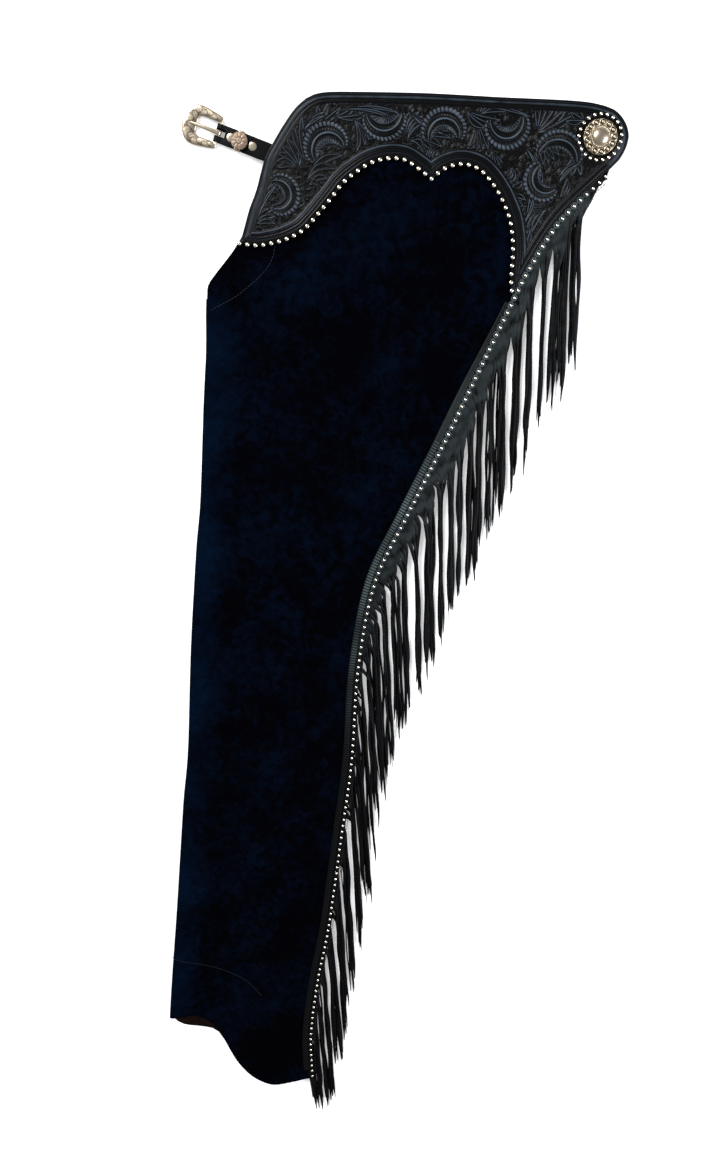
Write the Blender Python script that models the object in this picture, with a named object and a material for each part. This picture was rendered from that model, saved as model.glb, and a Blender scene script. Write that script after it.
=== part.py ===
"""Western show chaps, buckled side to the left, folded leg on leg and laid flat.

Two suede legs lie on each other with their outer sides turned out. The upper leg shows its
leather yoke, its studded fringe and its concho, and the front strap with its buckle lies open
beside the yoke. Tables are in millimetres, x towards the back of the chaps, y towards the
waist and z up from the surface that they lie on. The meshes are made in metres.
"""
import math
from collections import namedtuple

import bmesh
import bpy
import numpy as np

# Driving sizes, millimetres
MM = 0.001
GAP = 0.3
SUEDE = 1.4
FRINGE_LEATHER = 1.2
YOKE_LEATHER = 2.6
HIDDEN_YOKE_LEATHER = 2.4
HIDDEN_PILE = 3.2
LAYER_GAP = 0.5
PANEL_TOP_LEG = 6.9
PANEL_TOP_YOKE = 7.6
RAMP_START_Y, RAMP_END_Y = 330.0, 392.0
FOLD_LIFT, FOLD_REACH, FOLD_ROUND = 2.2, 30.0, 3.0
CROTCH_ROW_SHARE = 0.80
# Above the hip the front edge is no longer a fold, and the suede lies flat up to its seams
HIP_START_Y, HIP_END_Y = 380.0, 440.0
FOLD_FLAT = 4.0
FLAT_BY_SEAM_START, FLAT_BY_SEAM_END = 12.0, 60.0
# How far each layer of suede ends short of the seam, below 0 where it goes past it
OUTER_SIDE_INSET, INNER_SIDE_INSET = -1.5, -0.5
HIDDEN_LEG_INSET, HIDDEN_LEG_FRONT_INSET = 4.2, 2.0

# Where the front strap leaves the yoke and turns round the buckle's bar
BAR_X, BAR_Y, BAR_Z = -147.7, 556.9, 3.5
STRAP_ANGLE = math.radians(159.5)
BAR_RADIUS = 1.5
STRAP_WIDTH, STRAP_LEATHER = 17.0, 1.4
UPPER_PLY_LEVEL, LOWER_PLY_LEVEL = 6.85, 5.15
STRAP_TOP = UPPER_PLY_LEVEL + STRAP_LEATHER / 2
STRAP_BOTTOM = LOWER_PLY_LEVEL - STRAP_LEATHER / 2
SLOT_HALF_WIDTH, SLOT_END = 2.7, -5.6
TONGUE_THICKNESS = 1.2
BILLET_START, BILLET_LENGTH, BILLET_HALF_WIDTH, BILLET_POINT = -52.0, 92.0, 8.0, 4.0
KEEPER_ALONG, KEEPER_HALF_LENGTH = -22.0, 2.8
KEEPER_WALL, KEEPER_CLEAR, KEEPER_CORNER = 1.1, 0.4, 0.8

# The fringe: how far it is sewn in past the seam, and how its strands fall, sway and end
FRINGE_SEWN_IN = 2.5
UPPER_STRAND_LEVEL = 2.0
STRAND_SHARES = (0.0, 0.22, 0.6, 1.0)
STRAND_FALL_END = 45.0
STRAND_SWAY, SWAY_START = 1.4, 70.0
STRAND_POINT_SHARE, STRAND_SLANT = 0.8, 3.0
SHORTEST_STRAND = 8.0

# Trims on the suede beside the studs, their edges as distances out from the seam
TRIM_BY_STUDS = -2.9
PIPING_EDGE, PIPING_HEIGHT = -6.4, 1.8
ZIP_EDGE, ZIP_HEIGHT = -9.0, 1.2

Point = namedtuple("Point", "x y")
SeamPoint = namedtuple("SeamPoint", "x y web lean length")
EdgeStep = namedtuple("EdgeStep", "share inset")
FrameStep = namedtuple("FrameStep", "along across height half_width half_height")
StrapStep = namedtuple("StrapStep", "along height")
Stretch = namedtuple("Stretch", "first last")
Lanes = namedtuple("Lanes", "width gap")
Turning = namedtuple("Turning", "radius height")
Fold = namedtuple("Fold", "height x_share y_share place width fade_by_x fade_by_y fade_start fade_end")

# Stretches of the seam, as distances from its waist end
YOKE_FRINGE_STRETCH = Stretch(1.5, 140)
THIGH_FRINGE_STRETCH = Stretch(149, 468)
CALF_FRINGE_STRETCH = Stretch(470, 1126)
HIDDEN_FRINGE_STRETCH = Stretch(4, 1110)
PIPING_STRETCH = Stretch(150, 300)
ZIP_STRETCH = Stretch(301, 1120)
WIDE_LANES, NARROW_LANES, SPARSE_LANES = Lanes(3.6, 1.4), Lanes(2.7, 0.8), Lanes(3.6, 2.6)

# The seam down the outside of the leg, waist to hem, under the row of studs. The web is the
# uncut leather beyond it, lean is how far a strand hangs from straight down, in degrees
SEAM = (
    SeamPoint(229, 517, 9, -4.0, 166),
    SeamPoint(187, 476, 9, -3.0, 172),
    SeamPoint(158, 430, 9, -1.0, 176),
    SeamPoint(142, 397, 9, 0.0, 178),
    SeamPoint(112, 332, 9, 1.5, 180),
    SeamPoint(78, 258, 10, 2.5, 180),
    SeamPoint(38, 176, 10, 5.0, 186),
    SeamPoint(5, 103, 10, 8.5, 190),
    SeamPoint(-13, 3, 10, 10.0, 186),
    SeamPoint(-20, -105, 10, 9.0, 180),
    SeamPoint(-33, -209, 10, 8.5, 176),
    SeamPoint(-49, -330, 10, 8.0, 174),
    SeamPoint(-63, -406, 10, 8.5, 172),
    SeamPoint(-72, -484, 9, 10.0, 96),
    SeamPoint(-71, -545, 8, 6.0, 32),
)
# The fold down the front of the leg, hem to hip
FRONT_FOLD = (
    Point(-247, -459), Point(-241, -400), Point(-232, -320), Point(-222, -224),
    Point(-215, -157), Point(-207, -94), Point(-198, 28), Point(-187, 141),
    Point(-180, 197), Point(-172, 301), Point(-167, 352), Point(-163.5, 402),
    Point(-160, 421), Point(-143, 440), Point(-135, 450),
)
# From the hip the suede runs on under the yoke, clear of the front strap
FRONT_UNDER_YOKE = (
    Point(-122, 470), Point(-112, 490), Point(-100, 507), Point(-84, 521),
    Point(-79, 546), Point(-70, 568), Point(-58, 580),
)
TOP_UNDER_YOKE = (
    Point(-58, 580), Point(-39, 586), Point(54, 586), Point(123, 582),
    Point(181, 580), Point(228, 571),
)
BACK_UNDER_YOKE = (Point(231, 521), Point(236, 534), Point(239, 546), Point(237, 560), Point(228, 571))
# Hem of the outer side, front to back: level at first, then cut down over the heel
OUTER_HEM = (
    Point(-247, -459), Point(-222, -456), Point(-205, -460), Point(-190, -473),
    Point(-181, -491), Point(-167, -522), Point(-152, -543), Point(-137, -555),
    Point(-120, -561), Point(-98, -557), Point(-80, -552), Point(-70, -550),
)
# Hem of the inner side, which shows below the outer one at the front
INNER_HEM = (
    Point(-248, -461), Point(-232, -470), Point(-210, -473), Point(-191, -478),
    Point(-180, -495), Point(-168, -515), Point(-152, -534), Point(-135, -547),
    Point(-118, -553), Point(-97, -550), Point(-82, -546), Point(-73, -544),
)
# Yoke outline: two arches along its lower edge meet in a cusp
YOKE_FRONT = (
    Point(-130, 455), Point(-125.5, 468), Point(-119.5, 487), Point(-112, 505), Point(-103.5, 532),
    Point(-94.5, 548), Point(-82.5, 566), Point(-72, 579), Point(-62, 587),
)
YOKE_TOP = (
    Point(-62, 587), Point(-52, 591), Point(-38, 592.6), Point(-10, 592.6), Point(54, 591.4),
    Point(123, 588), Point(181, 585.6), Point(208, 583.6), Point(224, 580.5),
)
YOKE_ARCH_FRONT = (
    Point(-130, 455), Point(-112, 453), Point(-96, 455.5), Point(-82, 459.5), Point(-68, 466.5),
    Point(-56.5, 477), Point(-37, 499), Point(-27, 511), Point(-14, 521), Point(0, 529),
    Point(16, 533), Point(32, 532), Point(46, 524), Point(59, 514.5),
)
YOKE_ARCH_BACK = (
    Point(59, 514.5), Point(72, 524), Point(88, 528), Point(104, 524), Point(115.5, 514),
    Point(125, 501.5), Point(132, 488.5), Point(137, 476), Point(140, 460), Point(141, 444),
    Point(140.3, 430), Point(140.5, 415), Point(142.5, 405),
)
YOKE_TIP = (
    Point(234, 525), Point(242, 533.5), Point(247.5, 545), Point(248.5, 556), Point(244, 567),
    Point(235, 576), Point(224, 580.5),
)
YOKE_TO_SEAM = 3.2
YOKE_SEAM_END_Y = 409.0
CONCHO_X, CONCHO_Y = 221.0, 552.5

# Half of the buckle's frame, from the middle of its bar to the middle of its outer end
FRAME = (
    FrameStep(0.0, 0.0, 3.5, 1.5, 1.5),
    FrameStep(0.0, 9.2, 3.5, 1.5, 1.5),
    FrameStep(0.9, 12.2, 3.5, 2.6, 1.9),
    FrameStep(5.0, 12.9, 3.4, 3.4, 2.1),
    FrameStep(12.0, 13.9, 3.1, 3.5, 2.1),
    FrameStep(19.0, 14.6, 2.8, 3.8, 2.1),
    FrameStep(25.5, 12.9, 2.6, 4.8, 2.1),
    FrameStep(29.2, 7.2, 2.5, 5.6, 2.2),
    FrameStep(30.2, 0.0, 2.5, 6.0, 2.3),
)
# The strap's two plies behind the bar: the upper one runs on under the yoke
UPPER_PLY = (
    StrapStep(-62, UPPER_PLY_LEVEL), StrapStep(-44, UPPER_PLY_LEVEL), StrapStep(-30, UPPER_PLY_LEVEL),
    StrapStep(-16, UPPER_PLY_LEVEL),
)
LOWER_PLY = (
    StrapStep(-15, LOWER_PLY_LEVEL), StrapStep(-30, LOWER_PLY_LEVEL), StrapStep(-46, LOWER_PLY_LEVEL),
)
# The tongue's shaft, from its hook to its tip, as along, height and half width
TONGUE_SHAFT = ((6.0, 6.1, 2.0), (14.0, 6.2, 1.8), (22.0, 6.0, 1.5), (28.5, 5.75, 1.0))
TONGUE_HOOK_HALF_WIDTH = 2.0
CONCHO_PROFILE = (
    Turning(17.2, 0.0), Turning(18.0, 0.8), Turning(17.0, 1.8), Turning(12.5, 2.4),
    Turning(9.6, 2.0), Turning(8.8, 3.4), Turning(6.4, 5.2), Turning(3.2, 6.2),
)
ROSETTE_PROFILE = (Turning(7.6, 0.0), Turning(8.2, 0.7), Turning(7.6, 1.5), Turning(4.0, 2.3))
# Soft folds in the upper suede. A fold's crest is the line where x_share x + y_share y is its
# place, and it fades in between the two places along x or y
FOLDS = (
    Fold(1.1, -0.35, 1.0, 120, 26, 1, 0, -60, -150), Fold(0.8, 0.5, 1.0, -150, 34, 1, 0, -205, -120),
    Fold(0.9, 1.0, 0.25, 10, 30, 0, 1, 60, 200), Fold(0.9, 0.3, 1.0, -430, 30, 1, 0, -260, -250),
)
# How a solid's rim is shaped, from its bottom face to its top face
SOFT_EDGE = (EdgeStep(0.0, 0.5), EdgeStep(0.3, 0.0), EdgeStep(0.7, 0.0), EdgeStep(1.0, 0.5))
STRIP_EDGE = (EdgeStep(0.0, 0.2), EdgeStep(0.6, 0.0), EdgeStep(1.0, 0.6))
FOLDED_EDGE = (
    EdgeStep(0.0, 0.7), EdgeStep(0.15, 0.0), EdgeStep(0.38, 0.1), EdgeStep(0.5, 1.3),
    EdgeStep(0.62, 0.1), EdgeStep(0.85, 0.0), EdgeStep(1.0, 0.7),
)


# Curves and grids

def smooth_line(rows, count):
    """Evenly spaced points on a smooth curve through the rows of a table."""
    given = np.array(rows, float)
    ends = np.vstack([2 * given[0] - given[1], given, 2 * given[-1] - given[-2]])
    share = np.linspace(0, 1, 12, endpoint=False)[:, None]
    spans = []
    for a, b, c, d in zip(ends, ends[1:], ends[2:], ends[3:]):
        spans.append(b + 0.5 * share * ((c - a) + share * ((2 * a - 5 * b + 4 * c - d)
                                                           + share * (3 * b - a - 3 * c + d))))
    return evenly(np.vstack(spans + [given[-1:]]), count)


def evenly(line, count):
    """The same line with its points a like distance apart."""
    run = distance_along(line)
    wanted = np.linspace(0, run[-1], count)
    return np.column_stack([np.interp(wanted, run, column) for column in line.T])


def distance_along(line):
    """Distance along a line in plan, point by point."""
    steps = np.hypot(*np.diff(line[:, :2], axis=0).T)
    return np.concatenate([[0.0], np.cumsum(steps)])


def side_normals(line):
    """Unit vectors square to a line in plan, on its right hand as it is walked."""
    along = np.gradient(line[:, :2], axis=0)
    along /= np.linalg.norm(along, axis=1)[:, None]
    return np.column_stack([along[:, 1], -along[:, 0]])


def patch(left, right, bottom, top):
    """Grid of points between four edges that meet at their corners."""
    u = np.linspace(0, 1, len(bottom))[None, :, None]
    v = np.linspace(0, 1, len(left))[:, None, None]
    between_sides = (1 - u) * left[:, None] + u * right[:, None]
    between_ends = (1 - v) * bottom[None] + v * top[None]
    corners = ((1 - u) * (1 - v) * bottom[0] + u * (1 - v) * bottom[-1]
               + (1 - u) * v * top[0] + u * v * top[-1])
    return between_sides + between_ends - corners


def ease(value, start, end):
    """Rises smoothly from 0 at start to 1 at end."""
    share = np.clip((np.asarray(value, float) - start) / (end - start), 0, 1)
    return share * share * (3 - 2 * share)


def seam_line(count=161):
    """The seam's table as a smooth line from waist to hem."""
    return smooth_line(SEAM, count)


def hidden_top(y):
    """Height of the hidden leg's top, which steps up over the hidden yoke."""
    over_yoke = HIDDEN_YOKE_LEATHER + GAP + SUEDE
    return HIDDEN_PILE + (over_yoke - HIDDEN_PILE) * ease(y, RAMP_START_Y, RAMP_END_Y)


def panel_top(y):
    """Height of the upper suede's top face where nothing creases it."""
    return PANEL_TOP_LEG + (PANEL_TOP_YOKE - PANEL_TOP_LEG) * ease(y, RAMP_START_Y, RAMP_END_Y)


# Objects

def finish(name, color, roughness, metallic=0.0):
    """A plain Principled material."""
    material = bpy.data.materials.new(name)
    material.use_nodes = True
    shader = material.node_tree.nodes["Principled BSDF"]
    shader.inputs["Base Color"].default_value = (*color, 1.0)
    shader.inputs["Roughness"].default_value = roughness
    shader.inputs["Metallic"].default_value = metallic
    return material


def add_object(name, points, faces, material, smooth_angle=50, parent=None):
    """Puts one closed solid, given in millimetres, into the scene."""
    mesh = bpy.data.meshes.new(name)
    places = np.asarray(points, float) * MM
    if parent is not None:
        places = places - np.array(parent.location)
    mesh.from_pydata(places.tolist(), [], [tuple(int(i) for i in face) for face in faces])
    mesh.materials.append(material)
    shape = bmesh.new()
    shape.from_mesh(mesh)
    bmesh.ops.recalc_face_normals(shape, faces=shape.faces)
    shape.to_mesh(mesh)
    shape.free()
    mesh.shade_smooth()
    mesh.set_sharp_from_angle(angle=math.radians(smooth_angle))
    placed = bpy.data.objects.new(name, mesh)
    bpy.context.scene.collection.objects.link(placed)
    if parent is not None:
        placed.parent = parent
    return placed


def add_wall(sheet, thickness):
    """Gives a sheet its thickness, half to either side."""
    wall = sheet.modifiers.new("wall", "SOLIDIFY")
    wall.thickness = thickness * MM
    wall.offset = 0.0
    return wall


def slab(grid, low, high, edge):
    """Closed solid between two heights over a grid, its rim shaped by a table of steps."""
    rows, columns = grid.shape[:2]
    number = np.arange(rows * columns).reshape(rows, columns)
    rim = np.concatenate([number[0, :-1], number[:-1, -1], number[-1, :0:-1], number[:0:-1, 0]])
    flat = grid.reshape(-1, 2)
    low, high = low.reshape(-1), high.reshape(-1)
    before, after = flat[np.roll(rim, 1)], flat[np.roll(rim, -1)]
    along = after - before
    outward = np.column_stack([along[:, 1], -along[:, 0]])
    outward /= np.linalg.norm(outward, axis=1)[:, None]

    def level(step):
        height = low[rim] + step.share * (high[rim] - low[rim])
        return np.column_stack([flat[rim] - outward * step.inset, height])

    bottom = np.column_stack([flat, low])
    top = np.column_stack([flat, high])
    bottom[rim] = level(edge[0])
    top[rim] = level(edge[-1])
    points = np.vstack([bottom, top] + [level(step) for step in edge[1:-1]])
    quads = np.stack([number[:-1, :-1], number[:-1, 1:], number[1:, 1:], number[1:, :-1]], -1)
    quads = quads.reshape(-1, 4)
    total = rows * columns
    faces = list(quads[:, ::-1]) + list(quads + total)
    loops = [rim]
    loops += [2 * total + level_number * len(rim) + np.arange(len(rim))
              for level_number in range(len(edge) - 2)]
    loops.append(rim + total)
    for lower, upper in zip(loops, loops[1:]):
        faces += list(np.column_stack([lower, np.roll(lower, -1), np.roll(upper, -1), upper]))
    return points, faces


def tube(rings, closed):
    """Joins rings of points, capping the ends unless the last ring meets the first."""
    count, sides = rings.shape[:2]
    number = np.arange(count * sides).reshape(count, sides)
    faces = []
    for index in range(count if closed else count - 1):
        near, far = number[index], number[(index + 1) % count]
        faces += list(np.column_stack([near, np.roll(near, -1), np.roll(far, -1), far]))
    if not closed:
        faces += [number[0][::-1], number[-1]]
    return rings.reshape(-1, 3), faces


# The legs

def leg_grid(rows, columns, hem, seam_inset, front_inset=0.0):
    """Plan of one side of a leg, from the hem up and from the front fold back."""
    seam = seam_line()
    edge = seam[:, :2] + side_normals(seam) * seam_inset
    back = np.vstack([edge[::-1], np.array(BACK_UNDER_YOKE, float)[1:]])
    front = np.array(FRONT_FOLD + FRONT_UNDER_YOKE, float)
    front[:, 0] += front_inset
    hem_line = smooth_line(hem, columns)
    hem_line[0], hem_line[-1] = front[0], back[0]
    top_line = smooth_line(TOP_UNDER_YOKE, columns)
    top_line[0], top_line[-1] = front[-1], back[-1]
    return patch(smooth_line(front, rows), evenly(back, rows), hem_line, top_line)


def folds(x, y):
    """Height of the soft folds pressed into the upper suede."""
    total = np.zeros(x.shape)
    for fold in FOLDS:
        off_crest = (fold.x_share * x + fold.y_share * y - fold.place) / fold.width
        fade = ease(fold.fade_by_x * x + fold.fade_by_y * y, fold.fade_start, fold.fade_end)
        total += fold.height * np.exp(-off_crest ** 2) * fade
    return total


def leg_panel(material):
    """The leg's suede tube: outer side, front fold and the inner side under it."""
    rows, columns, fold_steps = 34, 13, 5
    crotch = int(CROTCH_ROW_SHARE * rows)
    outer = leg_grid(rows, columns, OUTER_HEM, OUTER_SIDE_INSET)
    inner = leg_grid(rows, columns, INNER_HEM, INNER_SIDE_INSET)
    width = np.linalg.norm(outer[:, -1] - outer[:, 0], axis=1)[:, None]
    share = np.linspace(0, 1, columns)[None]
    from_front, from_back = share * width, (1 - share) * width
    folded = 1 - ease(outer[:, 0, 1], HIP_START_Y, HIP_END_Y)[:, None]
    x, y = outer[..., 0], outer[..., 1]
    window = (ease(from_back, FLAT_BY_SEAM_START, FLAT_BY_SEAM_END)
              * (1 - ease(y, RAMP_START_Y - 30, RAMP_END_Y - 20)))
    height = (panel_top(y) - SUEDE / 2 + folds(x, y) * window
              + folded * FOLD_LIFT * (1 - ease(from_front, FOLD_FLAT, FOLD_REACH)))
    shift = FOLD_ROUND * (1 - ease(from_front, 0, FOLD_REACH))
    outer = np.dstack([x + folded * shift, y, height])
    inner = np.dstack([inner[..., 0] + shift, inner[..., 1],
                       hidden_top(inner[..., 1]) + LAYER_GAP + SUEDE / 2])
    turn = np.linspace(math.pi / 2, 3 * math.pi / 2, fold_steps + 2)[1:-1]
    middle = (outer[:, :1] + inner[:, :1]) / 2
    half = (outer[:, :1] - inner[:, :1]) / 2
    round_the_fold = np.array([FOLD_ROUND, 0, 0]) * np.cos(turn)[None, :, None]
    fold = middle + round_the_fold + half * np.sin(turn)[None, :, None]
    sheet = np.concatenate([outer[:, ::-1], fold, inner], axis=1)
    number = np.arange(sheet.shape[0] * sheet.shape[1]).reshape(sheet.shape[:2])
    quads = np.stack([number[:-1, :-1], number[:-1, 1:], number[1:, 1:], number[1:, :-1]], -1)
    kept = np.concatenate([quads[:crotch].reshape(-1, 4), quads[crotch:, :columns - 1].reshape(-1, 4)])
    used, faces = np.unique(kept, return_inverse=True)
    panel = add_object("leg_panel", sheet.reshape(-1, 3)[used], faces.reshape(kept.shape), material)
    add_wall(panel, SUEDE)
    return panel


def hidden_leg(material):
    """The leg underneath, its two layers in one rounded solid that is flat below."""
    grid = leg_grid(26, 8, INNER_HEM, HIDDEN_LEG_INSET, HIDDEN_LEG_FRONT_INSET)
    low = (HIDDEN_YOKE_LEATHER + GAP) * ease(grid[..., 1], RAMP_START_Y, RAMP_END_Y)
    return add_object("hidden_leg", *slab(grid, low, hidden_top(grid[..., 1]), FOLDED_EDGE), material)


# The yoke

def yoke_grid(rows, arch_columns, back_columns, seam_columns):
    """Plan of the yoke: its arches and seam below, its front, its top and its round tip."""
    seam = seam_line()
    beside_yoke = seam[seam[:, 1] > YOKE_SEAM_END_Y]
    along_seam = beside_yoke[::-1, :2] + side_normals(beside_yoke)[::-1] * YOKE_TO_SEAM
    front_arch = smooth_line(YOKE_ARCH_FRONT, arch_columns)
    back_arch = smooth_line(YOKE_ARCH_BACK, back_columns)
    tip = smooth_line(YOKE_TIP, rows)
    beside_seam = evenly(np.vstack([back_arch[-1:], along_seam, tip[:1]]), seam_columns)
    below = np.vstack([front_arch, back_arch[1:], beside_seam[1:]])
    return patch(smooth_line(YOKE_FRONT, rows), tip, below, smooth_line(YOKE_TOP, len(below)))


def yoke_plate(name, grid, bottom, thickness, material):
    """One yoke, a flat plate of stiff leather."""
    low = np.full(grid.shape[:2], bottom)
    return add_object(name, *slab(grid, low, low + thickness, SOFT_EDGE), material)


# The fringe

def fringe(name, stretch, lanes, root_level, end_level, material):
    """A leather strip along the seam whose outer side is cut into hanging strands.

    The strip's outer side has a long step for each strand and a short one for the gap beside
    it, so that each strand is drawn out of its own step and runs in its own lane. Its underside
    is at root_level of y where it is sewn in, and at end_level where the strands lie.
    """
    seam = smooth_line(SEAM, 641)
    run = distance_along(seam)
    normals = -side_normals(seam)

    def on_seam(at):
        row = [np.interp(at, run, column) for column in seam.T]
        out = np.array([np.interp(at, run, column) for column in normals.T])
        return SeamPoint(*row), out / np.linalg.norm(out)

    stations = [stretch.first]
    strand_next = True
    while True:
        here, out = on_seam(stations[-1])
        slant = abs(float(np.dot(out, hanging(here)[0])))
        step = (lanes.width if strand_next else lanes.gap) / slant
        if stations[-1] + step > stretch.last:
            break
        stations.append(stations[-1] + step)
        strand_next = not strand_next
    if len(stations) % 2:
        stations.pop()

    points, faces = [], []
    for at in stations:
        here, out = on_seam(at)
        bottom = float(root_level(here.y))
        for offset in (-FRINGE_SEWN_IN, here.web):
            place = np.array([here.x, here.y]) + out * offset
            points += [(*place, bottom), (*place, bottom + FRINGE_LEATHER)]
    for index in range(len(stations) - 1):
        a, b = 4 * index, 4 * index + 4
        faces += [(a, a + 2, b + 2, b), (a + 1, b + 1, b + 3, a + 3), (a, b, b + 1, a + 1)]
        if index % 2:
            faces.append((a + 2, a + 3, b + 3, b + 2))
        else:
            here = on_seam((stations[index] + stations[index + 1]) / 2)[0]
            strand(points, faces, (a + 2, b + 2, b + 3, a + 3), here, index // 2, end_level)
    end = 4 * (len(stations) - 1)
    faces += [(0, 1, 3, 2), (end, end + 2, end + 3, end + 1)]
    return add_object(name, points, faces, material)


def hanging(here):
    """Unit vectors down a strand and across it, at a place on the seam."""
    lean = math.radians(here.lean)
    return np.array([math.sin(lean), -math.cos(lean)]), np.array([math.cos(lean), math.sin(lean)])


def strand(points, faces, ring, here, number, end_level):
    """One strand, drawn out of the strip's side from the ring of four points given."""
    down, side = hanging(here)
    upper, lower = np.array(points[ring[0]][:2]), np.array(points[ring[1]][:2])
    root = (upper + lower) / 2
    half = abs(float(np.dot(upper - lower, side))) / 2
    start = abs(float(np.dot(upper - lower, down))) / 2 + 1.0
    uneven = 7.0 * math.sin(2.4 * number) + 5.0 * math.sin(0.9 * number + 1.0)
    length = max(here.length + uneven * min(here.length / 100, 1), start + SHORTEST_STRAND)
    root_level = points[ring[0]][2]
    for share in STRAND_SHARES:
        last = share == STRAND_SHARES[-1]
        reach = start + (length - start) * share
        sway = STRAND_SWAY * float(ease(reach, 0, SWAY_START)) * math.sin(reach / 30 + here.y / 90)
        bottom = root_level + (end_level - root_level) * ease(reach, start / 2, STRAND_FALL_END)
        width = half * (STRAND_POINT_SHARE if last else 1.0)
        centre = root + down * reach + side * sway
        right = centre + side * width + down * (STRAND_SLANT if last else 0.0)
        left = centre - side * width
        first = len(points)
        points += [(*right, bottom), (*left, bottom), (*left, bottom + FRINGE_LEATHER),
                   (*right, bottom + FRINGE_LEATHER)]
        after = (first, first + 1, first + 2, first + 3)
        for corner in range(4):
            faces.append((ring[corner], ring[(corner + 1) % 4], after[(corner + 1) % 4], after[corner]))
        ring = after
    faces.append(ring[::-1])


def upper_root_level(y):
    """Underside of the upper fringe where it is sewn in, on the suede."""
    return panel_top(y) + GAP


def hidden_root_level(y):
    """Underside of the hidden fringe, just above the surface all along."""
    return GAP


def seam_strip(name, stretch, far_edge, thickness, columns, material):
    """A narrow strip on the suede beside the fringe, such as piping or a zip's band."""
    seam = smooth_line(SEAM, 641)
    run = distance_along(seam)
    kept = seam[(run >= stretch.first) & (run <= stretch.last)]
    line = evenly(kept, columns)
    normals = -side_normals(line)
    sides = [line[:, :2] + normals * far_edge, line[:, :2] + normals * TRIM_BY_STUDS]
    grid = np.stack(sides, axis=1)[::-1]
    low = panel_top(grid[..., 1]) + GAP
    return add_object(name, *slab(grid, low, low + thickness, STRIP_EDGE), material)


# Metal and the front strap

def turned(profile, sides):
    """Rings of a turned piece from its profile of radius and height."""
    angle = np.linspace(0, 2 * math.pi, sides, endpoint=False)
    return np.array([np.column_stack([step.radius * np.cos(angle), step.radius * np.sin(angle),
                                      np.full(sides, step.height)]) for step in profile])


def disc(name, place, profile, sides, material):
    """A round ornament standing on its place."""
    rings = turned(profile, sides) + np.array(place, float)
    return add_object(name, *tube(rings, closed=False), material, smooth_angle=35)


def strap_place(along, across, height):
    """A place on the strap, from the buckle's bar, as x, y and z."""
    along, across, height = np.broadcast_arrays(along, across, height)
    cosine, sine = math.cos(STRAP_ANGLE), math.sin(STRAP_ANGLE)
    return np.stack([BAR_X + along * cosine + across * sine,
                     BAR_Y + along * sine - across * cosine, height], axis=-1)


def front_strap(material):
    """The strap, doubled round the buckle's bar, with a slot for the tongue."""
    radius = BAR_RADIUS + GAP + STRAP_LEATHER / 2
    turn = np.radians(np.arange(90, -91, -18))
    loop = [StrapStep(radius * math.cos(angle), BAR_Z + radius * math.sin(angle)) for angle in turn]
    drop = [StrapStep(-8, 6.3), StrapStep(-5.5, BAR_Z + radius)]
    rise = [StrapStep(-3.5, 1.4), StrapStep(-8, 3.0)]
    line = np.array([*UPPER_PLY, *drop, *loop, *rise, *LOWER_PLY])
    across = np.array([-STRAP_WIDTH / 2, -SLOT_HALF_WIDTH, SLOT_HALF_WIDTH, STRAP_WIDTH / 2])
    grid = strap_place(line[:, None, 0], across[None, :], line[:, None, 1])
    number = np.arange(len(line) * 4).reshape(-1, 4)
    faces = []
    for index in range(len(line) - 1):
        slotted = min(line[index, 0], line[index + 1, 0]) > SLOT_END
        for lane in (0, 2) if slotted else (0, 1, 2):
            faces.append((number[index, lane], number[index + 1, lane],
                          number[index + 1, lane + 1], number[index, lane + 1]))
    strap = add_object("front_strap", grid.reshape(-1, 3), faces, material)
    add_wall(strap, STRAP_LEATHER).use_even_offset = True
    return strap


def billet_strap(material):
    """The other strap's end, folded back between the legs under the yoke."""
    along = BILLET_START - np.linspace(0, BILLET_LENGTH, 5)
    half = np.array([BILLET_HALF_WIDTH] * 4 + [BILLET_POINT])
    grid = np.stack([strap_place(along, -half, 0.0)[..., :2],
                     strap_place(along, half, 0.0)[..., :2]], axis=1)
    low = np.full(grid.shape[:2], HIDDEN_YOKE_LEATHER + GAP + SUEDE + GAP)
    return add_object("billet_strap", *slab(grid, low, low + STRAP_LEATHER, SOFT_EDGE), material)


def buckle_frame(material, hinge):
    """The frame, one ring round the tongue's opening with the bar as its straight side."""
    mirrored = [step._replace(across=-step.across) for step in FRAME[-2:0:-1]]
    given = np.array([*FRAME, *mirrored], float)
    closed = np.vstack([given[-2:], given, given[:2]])
    line = smooth_line(closed, 57)
    start = np.argmin(np.hypot(line[:20, 0], line[:20, 1]))
    end = len(line) - np.argmin(np.hypot(line[::-1][:20, 0], line[::-1][:20, 1])) - 1
    line = evenly(line[start:end + 1], 41)[:-1]
    ahead, behind = np.roll(line, -1, axis=0), np.roll(line, 1, axis=0)
    along = (ahead - behind)[:, :2]
    along /= np.linalg.norm(along, axis=1)[:, None]
    out = np.column_stack([along[:, 1], -along[:, 0]])
    angle = np.linspace(0, 2 * math.pi, 8, endpoint=False) + math.pi / 8
    plan = line[:, None, :2] + out[:, None] * (line[:, 3, None] * np.cos(angle))[..., None]
    height = line[:, 2, None] + line[:, 4, None] * np.sin(angle)
    rings = strap_place(plan[..., 0], plan[..., 1], height)
    return add_object("buckle_frame", *tube(rings, closed=True), material, parent=hinge)


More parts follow.
